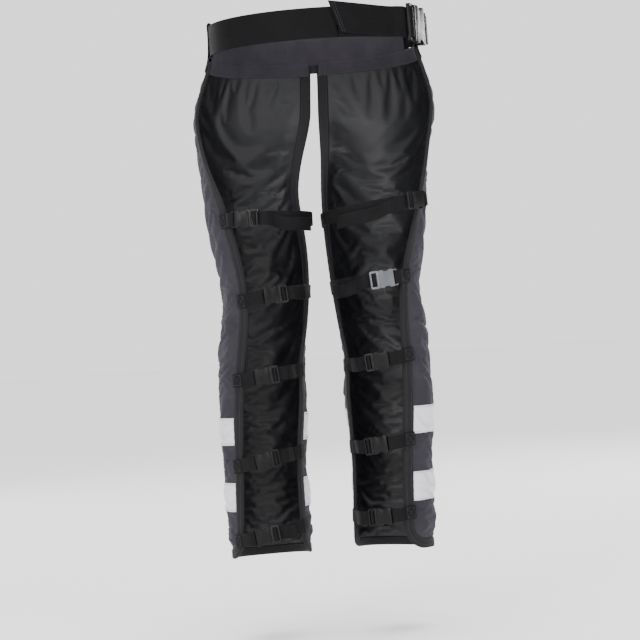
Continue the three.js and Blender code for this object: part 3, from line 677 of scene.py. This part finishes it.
def grid_value(grid, u, v):
    """A grid over even u (columns) and v (rows), read between its points by cubic weights."""
    def spread(values, at):
        n = len(values)
        x = np.clip(at, 0, 1) * (n - 1)
        k = np.clip(np.floor(x).astype(int), 0, n - 2)
        f = (x - k)[:, None]
        a, b, c, d = (values[np.clip(k + j, 0, n - 1)] for j in (-1, 0, 1, 2))
        return b + 0.5 * f * (c - a + f * (2 * a - 5 * b + 4 * c - d + f * (3 * (b - c) + d - a)))
    return spread(spread(grid, v).T, u).T


def puckers(s, z, centre=16, spread=6.5, height=0.42):
    """The row of small waves that a seam draws into the cloth beside it."""
    wave = np.sin(2 * np.pi * z / 13 + 1.3 * np.sin(z / 41)) * (0.6 + 0.4 * np.sin(z / 57 + 1))
    return height * wave * np.exp(-(((s - centre) / spread) ** 2))


def make_panel(side_name):
    """Shell and lining as one closed pillow: a row of points out over the shell and back under the lining."""
    side = SIDES[side_name]
    width = panel_width(side, -500)
    near = np.array([0, 0.6, 1.6, 3.2, 5.5, 8.5, 11.5, 14, 16.5, 19.5, 22.5])
    middle = np.linspace(0, 1, 96)[1:-1]
    lows = near / width
    u = np.r_[lows, mix(lows[-1], 1 - lows[-1], middle), 1 - lows[::-1]]
    v = np.r_[np.linspace(0, 0.9, 300), 0.9 + 0.1 * np.linspace(0, 1, 36)[1:]]
    uu, zz, s, t, hem_gap, edge = panel_places(side, u, v)
    taper = smooth((edge - 11) / 22) * smooth((PANEL_TOP - 6 - zz) / 30)
    even = even_lift(edge, zz)
    stand = folds(side_name, s, t, zz)
    stand = 0.45 * stand + grid_value(drape(side_name), u, v)
    stand = stand * taper
    stand = stand - 0.7 * stand.mean()
    stand = np.where(stand > 0, MOST_OUT * np.tanh(stand / MOST_OUT), MOST_IN * np.tanh(stand / MOST_IN))
    outer_lift = even + stand + puckers(s, zz) + puckers(t, zz) + puckers(hem_gap, s)
    inner_lift = np.clip(0.6 * stand, -2.0, outer_lift - 2.4)
    outer, inner = on_panel(side, uu, zz, outer_lift), on_panel(side, uu, zz, inner_lift)
    rings = np.concatenate([outer, inner[:, ::-1]], axis=1)
    gaps = np.linalg.norm(np.diff(outer, axis=1), axis=-1)
    run = np.concatenate([np.zeros((len(v), 1)), np.cumsum(gaps, axis=1)], axis=1)
    run -= run[:, len(u) // 2 : len(u) // 2 + 1]
    across = np.concatenate([run, run[:, ::-1]], axis=1)
    uv = np.stack([across, np.concatenate([zz, zz[:, ::-1]], axis=1)], -1)
    quads = ring_quads(len(v), 2 * len(u))
    columns = np.arange(2 * len(u))
    lined = (columns >= len(u)) & (columns < 2 * len(u) - 1)
    face_material = np.r_[np.tile(lined, len(v) - 1), np.zeros(2 * (len(u) - 1), bool)]
    name = f"{side_name}_panel"
    piece = write_mesh(name, rings, quads, [shell_cloth, lining_cloth], uv, face_material)
    panels[side_name] = dict(u=u, zz=zz, s=s, t=t, outer_lift=outer_lift, inner_lift=inner_lift, across=run)
    return piece


def edge_path(side, step=3.4):
    """Places round the panel's edge, down the outer side, along the hem and up the inner side, with the way
    inwards at each: level on the sides, turning through the corners' quarter circles, upwards on the hem."""
    width = panel_width(side, PANEL_BOTTOM)
    corner_top = float(hem_z(side, np.array(0.0)))
    z_side = np.linspace(PANEL_TOP - 1, corner_top, int((PANEL_TOP - 1 - corner_top) / step))[:-1]
    side_width = panel_width(side, z_side)
    turn = np.radians(np.linspace(0, 90, 18))
    s_corner = CORNER_R * (1 - np.cos(turn))
    u_hem = np.linspace(CORNER_R / width, 1 - CORNER_R / width, int((width - 2 * CORNER_R) / step))[1:-1]
    u_turn = s_corner / width
    u = np.r_[0 * z_side, u_turn, u_hem, 1 - u_turn[::-1], 1 + 0 * z_side]
    z = np.r_[z_side, hem_z(side, u_turn), hem_z(side, u_hem), hem_z(side, 1 - u_turn[::-1]), z_side[::-1]]
    du = np.r_[1 / side_width, np.cos(turn) / width, 0 * u_hem, -np.cos(turn[::-1]) / width, -1 / side_width[::-1]]
    dz = np.r_[0 * z_side, np.sin(turn), 1 + 0 * u_hem, np.sin(turn[::-1]), 0 * z_side]
    return u, z, du, dz


BIND_LINE = [
    [BIND_REACH, 4.0], [12.6, 4.22], [11.2, 4.05], [9.6, 4.24], [7.2, 4.3], [5.0, 4.24], [3.6, 4.05], [2.0, 4.2],
    [0.4, 4.1], [-0.8, 3.3], [-1.25, 1.8], [-0.8, 0.3], [0.4, -0.55], [3.5, -0.62], [8.5, -0.62], [BIND_REACH, -0.6],
]


def make_binding(side_name):
    """Tape folded over the panel's edge, with a shallow trough under each row of stitches."""
    side = SIDES[side_name]
    u, z, du, dz = edge_path(side)
    section = fold_section(np.array(BIND_LINE), BIND_THICK)
    inwards, lift = section[:, 0], section[:, 1]
    run = np.arange(len(u))[:, None] * 3.4
    wave = 0.16 * np.sin(2 * np.pi * run / 13.6) * smooth(lift / 4)
    rings = on_panel(side, u[:, None] + du[:, None] * inwards, z[:, None] + dz[:, None] * inwards, lift + wave)
    across = lengths(section)
    piece = ring_solid(f"{side_name}_edge_binding", rings, binding_tape, across)
    runs = []
    for inward, height in ((11.2, BIND_TOP - 0.14), (3.6, BIND_TOP - 0.14), (11.0, -1.14)):
        points, normals = on_panel(side, u + du * inward, z + dz * inward, height, normals=True)
        runs.append((points, normals if height > 0 else -normals))
    sewn = stitching(f"{side_name}_edge_stitching", runs, thread)
    return piece, sewn


FACING_LINE = [
    [-0.9, -52], [-0.8, -44], [-0.8, -36], [-0.3, -30.5], [0.8, -28.2], [2.4, -27.4], [4.0, -28.2], [5.0, -30.5],
    [5.6, -36], [6.0, -44], [6.3, -52],
]


def make_top_facing(side_name):
    """Shell cloth folded over the panel's top edge, up to the underside of the belt."""
    side = SIDES[side_name]
    section = fold_section(rounded_line(FACING_LINE), 0.9)
    u = np.linspace(0.002, 0.998, 110)[:, None]
    lift, height = section[:, 0], section[:, 1]
    rings = on_panel(side, u, height, lift + 0.15 * np.sin(u * 120) * (height < -40))
    across = lengths(section)
    piece = ring_solid(f"{side_name}_top_facing", rings, shell_cloth, across)
    runs = [on_panel(side, u[:, 0], -49.5, 6.75, normals=True), on_panel(side, u[:, 0], -31.5, 5.75, normals=True)]
    inside = on_panel(side, u[:, 0], -49.5, -1.4, normals=True)
    runs.append((inside[0], -inside[1]))
    return piece, stitching(f"{side_name}_top_stitching", runs, thread)


def make_band(side_name, number):
    """Reflective tape on the shell, between the two bindings, with a row of stitches along each long side."""
    side, panel, middle = SIDES[side_name], panels[side_name], BAND_Z[number - 1]
    level = panel["zz"][:, len(panel["u"]) // 2]
    rows = np.where(np.abs(level - middle) <= BAND_HEIGHT / 2 + 0.6)[0]
    width = panel_width(side, middle)
    columns = np.where((panel["u"] * width > 15.5) & ((1 - panel["u"]) * width > 15.5))[0]
    pick = np.ix_(rows, columns)
    uu = np.broadcast_to(panel["u"][columns], panel["zz"][pick].shape)
    zz, lift = panel["zz"][pick], panel["outer_lift"][pick]
    outer, out = on_panel(side, uu, zz, lift + 0.75, normals=True)
    inner = on_panel(side, uu, zz, lift + 0.18)
    across = panel["across"][pick].mean(axis=0)
    rings = np.concatenate([outer, inner[:, ::-1]], axis=1)
    piece = ring_solid(f"{side_name}_reflective_tape_{number}", rings, bead_tape, out_and_back(across))
    runs = [(outer[k] + 0.02 * out[k], out[k]) for k in (1, len(rows) - 2)]
    sewn = stitching(f"{side_name}_reflective_stitching_{number}", runs, thread)
    return piece, sewn


# ---------------------------------------------------------------- clip straps

WEB = web_section(WEB_WIDTH, WEB_THICK)
SEWN_LONG, SEWN_TAB = 19, 17.5  # how far each webbing is sewn in over the panel
OFF_EDGE, OFF_CLIP = 34, 46  # where a strap begins and stops lying on the leg, from the edge and the buckle
SHORT_RUN = 15  # mm of strap lying on the leg, below which it doesn't lie on it at all
LADDER_REACH = 20  # how far a plug's ladder reaches along the strap from its frame's origin


def clip_frame(side, spec):
    """Origin at the socket's mouth, the way towards the inner side, up across, and outwards."""
    middle = on_leg(side, spec["deg"], spec["z"], spec["lift"])
    ahead, behind = (on_leg(side, spec["deg"] + turn, spec["z"], spec["lift"]) for turn in (-1, 1))
    along = ahead - behind
    along[2] = along[0] * math.tan(math.radians(spec["slope"]))
    along = unit(along)
    out = np.cross([0, 0, -side], unit(along * [1, 1, 0]))
    origin = middle - along * (CLIP["bar_end"] + CLIP["ladder_end"]) / 2
    return origin, along, out, np.cross(out, along)


def edge_places(side, spec, origin, u_edge, inward, inwards, lift):
    """Places on the panel at distances in from one edge, on the strap's sloping plane."""
    inwards = np.asarray(inwards, float)
    z = np.full(inwards.shape, float(spec["z"]))
    for _ in range(4):
        place = on_panel(side, u_edge + inward * inwards / panel_width(side, z), z, lift)
        z = spec["z"] + (place[:, 0] - origin[0]) * math.tan(math.radians(spec["slope"]))
    return place


def across_of(rings):
    """The direction from a section's first place across to its last."""
    half = rings.shape[1] // 2
    return unit(rings[:, half - 1] - rings[:, 0])


def turning_across(path, first, last_across, reach=14):
    """Across directions along a path that turn from the laid section's to the buckle's."""
    run = lengths(path)
    return unit(mix(first, last_across, smooth(run / reach)[:, None]))


# the webbing's way through the plug's ladder, as places along the buckle and heights over its middle
LADDER_WAY = [
    (24, -5.0), (17, -4.85), (12.5, -4.7), (9.2, -4.2), (7.1, -3.2), (6.25, -1.4),
    (6.2, 0.4), (6.6, 2.0), (7.6, 2.95), (8.8, 3.15), (10.0, 2.9), (10.9, 1.9),
    (11.15, 0.3), (11.35, -1.3), (12.1, -2.6), (13.6, -3.05), (17, -3.3),
]
# and round the socket's bar
BAR_WAY = [
    (-38, -3.0), (-33, -3.0), (-28.5, -3.0), (-26.4, -2.4), (-25.6, -0.9), (-25.6, 0.9), (-26.4, 2.4), (-28.5, 3.0),
    (-31.2, 2.7), (-34.0, 1.1), (-36.8, -0.7),
]


def places_on(origin, along, out, places):
    """Points at distances along a buckle and heights over its middle."""
    return np.array([origin + along * x + out * height for x, height in places])


def hold_and_carry(piece):
    """Bakes the strap's placement into its mesh and leaves the object at the origin. It is not blended between the
    chaps and the plug."""
    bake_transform(piece)


def box_stitch(side, spec, origin, across, u_edge, inward, reach, half, lift, guess):
    """Runs of a sewn box with crossed diagonals on webbing that is laid on the panel."""
    corners = [(reach[0], -half), (reach[1], -half), (reach[1], half), (reach[0], half)]
    lines = [(corners[k], corners[(k + 1) % 4]) for k in range(4)]
    lines += [(corners[0], corners[2]), (corners[1], corners[3])]
    runs = []
    for (a0, w0), (a1, w1) in lines:
        a, w = np.linspace(a0, a1, 12), np.linspace(w0, w1, 12)
        places = edge_places(side, spec, origin, u_edge, inward, a, lift) + across * w[:, None]
        u = panel_u(side, places, lift, guess)
        runs.append(on_panel(side, u, places[:, 2], lift, normals=True))
    return runs


def make_strap(side_name, number):
    side, spec = SIDES[side_name], STRAPS[side_name][number - 1]
    origin, along, out, across = clip_frame(side, spec)
    at = functools.partial(places_on, origin, along, out)
    tan = math.tan(math.radians(spec["slope"]))

    # long strap: sewn to the inner edge, round the back of the leg, through the ladder, and its loose tail
    inwards = np.linspace(SEWN_LONG, 0, 9)
    laid_path = edge_places(side, spec, origin, 1, -1, inwards, ON_BINDING)
    laid = laid_rings(side, laid_path, across, ON_BINDING, 1, WEB)
    rx, ry = track(LEG, spec["z"])[2:4]
    deg_per_mm = 1 / math.radians((rx + ry) / 2)
    inner_deg = float(track(LEG, spec["z"])[5])
    start = inner_deg - side * twist_at(spec["z"]) - 360 + OFF_EDGE * deg_per_mm
    stop = spec["deg"] - OFF_CLIP * deg_per_mm
    on_leg_run = (stop - start) / deg_per_mm
    # where the panel's edges are close together, the strap goes straight from the edge to its plug
    count = max(2, int(round(on_leg_run / 26))) if on_leg_run > SHORT_RUN else -1
    degs = np.linspace(start, stop, count + 1)
    ring = on_leg(side, degs, np.full(degs.shape, float(spec["z"])), WEB_ON_LEG)
    for _ in range(3):
        ring = on_leg(side, degs, spec["z"] + (ring[:, 0] - origin[0]) * tan, WEB_ON_LEG)
    beyond = edge_places(side, spec, origin, 1, -1, [-7, -17], np.array([ON_BINDING - 0.6, ON_BINDING - 2.2]))
    way_in = at(LADDER_WAY)
    free_path = smooth_path([laid_path[-1], *beyond, *ring, *way_in])
    # the tail follows the strap back on its outside, hanging a little below it
    strap_line = smooth_path(np.concatenate([laid_path[-1:], beyond, ring, way_in[:2]]), longest=2)[::-1]
    run = lengths(strap_line)
    strap_line = strap_line[run < spec["tail"]]
    run = run[run < spec["tail"]] / spec["tail"]
    normal = unit(np.cross(np.gradient(strap_line, axis=0), across))
    normal *= np.sign((normal[0] * out).sum())
    droop = spec["hang"] * smooth(run * 1.7) * np.sign(across[2])
    stand = WEB_THICK + 0.35 + spec["off"] * smooth(run * 1.4) ** 1.2
    tail = strap_line + normal * stand[:, None] - across * droop[:, None]
    whole = np.concatenate([free_path[1:], smooth_path([way_in[-1], *tail[3:-3:6], tail[-1]])[1:]])
    across_here = turning_across(whole, across_of(laid)[-1], across)
    rings = np.concatenate([laid, free_rings(whole, across_here, WEB)])
    name = f"{side_name}_long_strap_{number}"
    piece = ring_solid(name, rings, strap_web, out_and_back(WEB[0]))
    in_plug = at([place for place in LADDER_WAY if place[0] <= LADDER_REACH])
    hold_and_carry(piece)
    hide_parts(f"{side_name}_strap_{number}")
    top = ON_BINDING + WEB_THICK / 2 + 0.06
    sewn = box_stitch(side, spec, origin, across, 1, -1, (4, 16.5), 8.2, top, 1)

    # tab: sewn to the outer edge, round the socket's bar and back onto itself
    inwards = np.linspace(SEWN_TAB, 0, 8)
    low_path = edge_places(side, spec, origin, 0, 1, inwards, ON_BINDING)
    low = laid_rings(side, low_path, across, ON_BINDING, 0, WEB)
    high_lift = ON_BINDING + WEB_THICK + 0.1
    high_path = edge_places(side, spec, origin, 0, 1, inwards[1:][::-1], high_lift)
    high = laid_rings(side, high_path, across, high_lift, 0, WEB)
    back = mix(at([(-38, -1.45)]), high_path[:1], [[0.35], [0.7]])
    loop = smooth_path([*low_path[-2:], *at(BAR_WAY), *back, *high_path[:2]])
    near_low = int(np.argmin(np.linalg.norm(loop - low_path[-1], axis=-1)))
    near_high = int(np.argmin(np.linalg.norm(loop - high_path[0], axis=-1)))
    loop = loop[near_low + 1 : near_high]
    n = len(loop)
    share = np.minimum(np.arange(n) + 1, n - np.arange(n))[:, None] / 5
    across_here = unit(mix(np.where(np.arange(n)[:, None] < n / 2, across_of(low)[-1], across_of(high)[0]),
                           across, smooth(share)))
    middle_rings = free_rings(loop, across_here, WEB)
    tab = ring_solid(f"{side_name}_tab_web_{number}", np.concatenate([low, middle_rings, high]), strap_web,
                     out_and_back(WEB[0]))
    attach(tab, "chaps")
    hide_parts(f"{side_name}_tab_{number}")
    top = high_lift + WEB_THICK / 2 + 0.06
    sewn += box_stitch(side, spec, origin, across, 0, 1, (2.5, 14.5), 8.2, top, 0)
    return sewn


# ---------------------------------------------------------------- buckles


def moulded_copy(node, name, material, body, bevel_mm):
    """The frame's own solid with its doubles merged, its flat faces made whole, and every edge rounded."""
    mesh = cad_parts[node].data.copy()
    mesh.name = name
    b = bmesh.new()
    b.from_mesh(mesh)
    bmesh.ops.remove_doubles(b, verts=b.verts, dist=1e-5)
    bmesh.ops.dissolve_limit(b, angle_limit=math.radians(1), verts=b.verts, edges=b.edges)
    b.to_mesh(mesh)
    b.free()
    mesh.materials.clear()
    mesh.materials.append(material)
    piece = put(name, mesh)
    mesh.polygons.foreach_set("use_smooth", np.ones(len(mesh.polygons), bool))
    rounding = piece.modifiers.new("rounded edges", "BEVEL")
    rounding.width = bevel_mm * MM
    rounding.segments = 2
    rounding.limit_method = "ANGLE"
    rounding.angle_limit = math.radians(35)
    rounding.harden_normals = True
    rounding.use_clamp_overlap = True
    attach(piece, body)
    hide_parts(node)


# ---------------------------------------------------------------- belt and waistband

BELT = web_section(BELT_WIDTH, BELT_THICK, middle=13)
UP = np.array([0.0, 0.0, 1.0])
JOINT_DEG = 76  # the belt's two pieces meet here, under the tail
BELT_END_DEG = 314  # inside the waistband
TAIL_END_DEG = 84
TAIL_RISE, TAIL_CUT = 9.5, 17
BELT_LADDER_WAY = [
    (34, -7.5), (25, -7.5), (17, -7.2), (13.0, -6.2), (11.0, -4.0), (10.6, -1.0), (10.6, 1.6), (11.4, 3.9),
    (13.4, 4.75), (16, 4.75), (18.4, 4.5), (19.9, 3.2), (20.4, 1.0), (20.4, -1.2), (20.9, -3.2), (22.6, -4.3),
    (26, -4.6), (34, -4.75),
]
BELT_BAR_WAY = [
    (-62, -4.4), (-55, -4.4), (-49.5, -4.4), (-45.6, -3.7), (-44.2, -1.6), (-44.2, 1.6), (-45.6, 3.7), (-49.5, 4.4),
    (-53.5, 3.6), (-57.5, 1.0), (-62, -1.2), (-68, -1.8),
]
BELT_LADDER_REACH = 28  # how far the belt's plug reaches along the belt from its frame's origin


def belt_frame():
    """Origin at the mouth of the belt buckle's socket, the way round the back, and outwards."""
    middle = on_waist(BELT_CLIP_DEG, 0, BELT_CLIP["thick"] / 2 + 4)
    along = unit(on_waist(BELT_CLIP_DEG + 1, 0, 0) - on_waist(BELT_CLIP_DEG - 1, 0, 0))
    origin = middle - along * (BELT_CLIP["bar_end"] + BELT_CLIP["ladder_end"]) / 2
    return origin, along, np.cross(UP, along)


def make_belt():
    origin, along, out = belt_frame()
    at = functools.partial(places_on, origin, along, out)
    degs = np.arange(JOINT_DEG, BELT_CLIP_DEG + 26, -6.0)
    under = on_waist(degs, 0, BELT_MIDDLE)
    under_path = smooth_path([*under, *at(BELT_LADDER_WAY)], longest=5)
    # the tail lies on the outside of the belt, rises to its end, and is cut on the slant
    degs = np.arange(BELT_CLIP_DEG + 30, TAIL_END_DEG + 0.1, 4.0)
    share = (degs - degs[0]) / (degs[-1] - degs[0])
    tail = on_waist(degs, 0, BELT_MIDDLE + BELT_THICK + 0.5 + 1.6 * share**2)
    tail[:, 2] = TAIL_RISE * share**1.6
    path = np.concatenate([under_path, smooth_path([under_path[-1], *tail], longest=5)[1:]])
    run = lengths(path)
    tangent = np.gradient(path, axis=0)
    normal = unit(np.cross(tangent, UP))
    x, t = out_and_back(BELT[0]), np.r_[BELT[1], -BELT[1][::-1]]
    lean = TAIL_CUT * smooth((run - run[-1] + 70) / 70)[:, None] * (x / BELT_WIDTH - 0.5)
    way = unit(tangent)
    rings = path[:, None] + UP * x[:, None] + normal[:, None] * t[:, None] + way[:, None] * lean[..., None]
    rear = ring_solid("belt_rear_and_tail", rings, belt_web, x)
    in_plug = at([place for place in BELT_LADDER_WAY if place[0] <= BELT_LADDER_REACH])
    hold_and_carry(rear)
    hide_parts("belt_tail")
    # a hemmed end: two rows of stitches across the tail, on the slant of the cut
    half = len(BELT[0])
    runs = []
    for back in (9, 13):
        k = int(np.searchsorted(run, run[-1] - back))
        row = rings[k]
        outer = row[:half] if ((row[half // 2] - path[k]) * on_waist(TAIL_END_DEG, 0, 1)).sum() > 0 else row[half:]
        outward = unit((outer[half // 2] - path[k])[None])
        runs.append((outer[3:-3] + outward * 0.05, np.repeat(outward, half - 6, axis=0)))
    sewn = stitching("belt_tail_stitching", runs, thread, pitch=3.6)
    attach(sewn, "chaps")

    degs = np.arange(JOINT_DEG, BELT_END_DEG + 0.1, 4.0)
    ring_path = on_waist(degs, 0, BELT_MIDDLE)
    main = ring_solid("belt_main", free_rings(smooth_path(ring_path, longest=5), UP, BELT), belt_web, x)
    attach(main, "chaps")
    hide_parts("belt_webbing")

    start = on_waist(np.array([-44.0, -36, -29, -24]), 0, BELT_MIDDLE)
    loop = smooth_path([*start, *at(BELT_BAR_WAY), *at([(-76, -1.9)])], longest=4)
    tab = ring_solid("belt_socket_web", free_rings(loop, UP, BELT), belt_web, x)
    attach(tab, "chaps")
    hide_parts("belt_socket_tab")
    for node, body in (("belt_buckle_socket", "chaps"), ("belt_buckle_plug", "belt_plug"),
                       ("belt_latch_arm_upper", "belt_latch_upper"), ("belt_latch_arm_lower", "belt_latch_lower")):
        moulded_copy(node, f"{node}_moulding", black_acetal, body, 0.6)


WAIST_FROM, WAIST_TO = 183, 336


def waistband_sway(z):
    """How far the waistband follows the panels' sway below the belt, which it leaves level."""
    return sway_at(np.minimum(z, -20)) - HIP_SWAY * smooth((SWAY_TOP + 20) / (SWAY_TOP - SWAY_BOTTOM))


def make_waistband():
    """Shell cloth folded into a tunnel for the belt, its outer face going on down over the panels' tops."""
    line = rounded_line([
        [9.6, -46], [9.5, -40], [9.0, -34], [8.6, -20], [8.4, 0], [8.2, 20], [7.6, 30.5], [5.8, 33.2], [3.4, 33.4],
        [1.4, 31], [0.6, 20], [0.5, 0], [0.5, -20], [0.7, -29.5], [2.4, -32.2], [5, -32.6], [7.2, -32.2],
    ])
    section = fold_section(line, 1.1)
    degs = np.arange(WAIST_FROM, WAIST_TO + 0.1, 1.0)
    lift, height = section[:, 0], section[:, 1]
    slack = 0.5 * np.sin(np.radians(degs * 7))[:, None] * smooth((lift - 4) / 4) * np.exp(-((height / 22) ** 2))
    slack = slack + 0.3 * np.sin(degs * 1.9)[:, None] * np.exp(-(((height + 34) / 7) ** 2)) * smooth((lift - 4) / 4)
    rings = on_waist(degs[:, None], height, lift + slack)
    rings[..., 0] += waistband_sway(rings[..., 2])
    across = lengths(section)
    piece = ring_solid("waistband_cloth", rings, shell_cloth, across)
    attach(piece, "chaps")
    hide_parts("front_waistband")
    runs = []
    for z, where in ((-43.5, 10.15), (-34.5, 9.65), (28.5, 8.4)):
        p = on_waist(degs, z, where)
        p[:, 0] += waistband_sway(z)
        runs.append((p, unit(on_waist(degs, z, 60) - on_waist(degs, z, 10))))
    sewn = stitching("waistband_stitching", runs, thread)
    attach(sewn, "chaps")


# ---------------------------------------------------------------- putting it together

for side_name in SIDES:
    panel = make_panel(side_name)
    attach(panel, "chaps")
    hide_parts(f"{side_name}_shell", f"{side_name}_protective_pack", f"{side_name}_lining")
    binding, sewn = make_binding(side_name)
    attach(binding, "chaps")
    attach(sewn, "chaps")
    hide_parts(f"{side_name}_binding")
    facing, sewn = make_top_facing(side_name)
    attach(facing, "chaps")
    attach(sewn, "chaps")
    for number in (1, 2):
        tape, sewn = make_band(side_name, number)
        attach(tape, "chaps")
        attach(sewn, "chaps")
        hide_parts(f"{side_name}_reflective_band_{number}")
    boxes = []
    for number in range(1, 6):
        boxes += make_strap(side_name, number)
        # the painted-glare buckle takes the light grey plastic, and the others are black
        glare_here = (side_name, number) == PAINTED_GLARE_CLIP
        plastic, slot_name = (painted_glare_acetal, "grey_buckle_plastic") if glare_here else (black_acetal, "buckle_plastic")
        plug = f"{side_name}_plug_{number}"
        for part, node, body, bevel in (("socket", f"{side_name}_socket_{number}", "chaps", 0.45),
                                        ("plug", plug, plug, 0.4)):
            moulded_copy(node, f"{side_name}_{part}_moulding_{number}", plastic, body, bevel)
    sewn = stitching(f"{side_name}_strap_stitching", boxes, thread, pitch=3.0)
    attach(sewn, "chaps")

make_belt()
make_waistband()

# ---------------------------------------------------------------- stage, light and camera

FLOOR_Z = -1.0
floor_material, floor_tree = new_material("pale_studio_floor")
floor_noise = add(floor_tree, "ShaderNodeTexNoise", {"Scale": 3.0})
finish_material(floor_tree, linear("#f4f4f3"), 0.85, floor_noise.outputs[0], 0.01)
corners = np.array([[-20, -20, 0], [20, -20, 0], [20, 20, 0], [-20, 20, 0]], float) / MM
floor_mesh = bpy.data.meshes.new("floor")
floor_mesh.from_pydata([tuple(c * MM + np.array([0, 0, FLOOR_Z])) for c in corners], [], [(0, 1, 2, 3)])
floor_mesh.materials.append(floor_material)
put("floor", floor_mesh)

world = bpy.data.worlds.new("white_room")
world.use_nodes = True
room_tree = world.node_tree
room_tree.nodes.clear()
seen = add(room_tree, "ShaderNodeBackground", {"Color": linear("#ffffff"), "Strength": 1.62})
room = add(room_tree, "ShaderNodeBackground", {"Color": linear("#f3f5f8"), "Strength": 0.5})
ray = add(room_tree, "ShaderNodeLightPath").outputs["Is Camera Ray"]
both = add(room_tree, "ShaderNodeMixShader", {0: ray, 1: room.outputs[0], 2: seen.outputs[0]})
add(room_tree, "ShaderNodeOutputWorld", {"Surface": both.outputs[0]})
bpy.context.scene.world = world


def soft_light(name, place, size, watts):
    """A white square soft box that faces the middle of the chaps."""
    data = bpy.data.lights.new(name, "AREA")
    data.shape, data.size, data.energy = "SQUARE", size, watts
    lamp = put(name, data)
    lamp.location = place
    lamp.rotation_euler = (Vector((0, 0, -0.45)) - Vector(place)).to_track_quat("-Z", "Y").to_euler()


soft_light("key", (1.9, 2.5, 0.7), 1.2, 60)
soft_light("fill", (-2.3, 2.3, 0.0), 1.6, 34)
soft_light("behind", (0.3, 3.6, 0.4), 1.4, 40)
soft_light("front_key", (-1.6, -2.6, 1.0), 1.4, 60)
soft_light("front_fill", (2.2, -2.4, 0.2), 1.6, 26)
overhead_data = bpy.data.lights.new("overhead", "SUN")
overhead_data.energy, overhead_data.angle = 4.2, math.radians(45)
put("overhead", overhead_data)

camera_data = bpy.data.cameras.new("camera")
camera_data.sensor_width = 36
camera_data.lens = 94
camera = put("camera", camera_data)
camera.location = (0.0205, 2.8, -0.4766)
look = Vector((0, -1, 0)).to_track_quat("-Z", "Y")
camera.rotation_mode = "QUATERNION"
camera.rotation_quaternion = look @ Quaternion((0, 0, 1), math.radians(-4))  # the camera's roll
bpy.context.scene.camera = camera
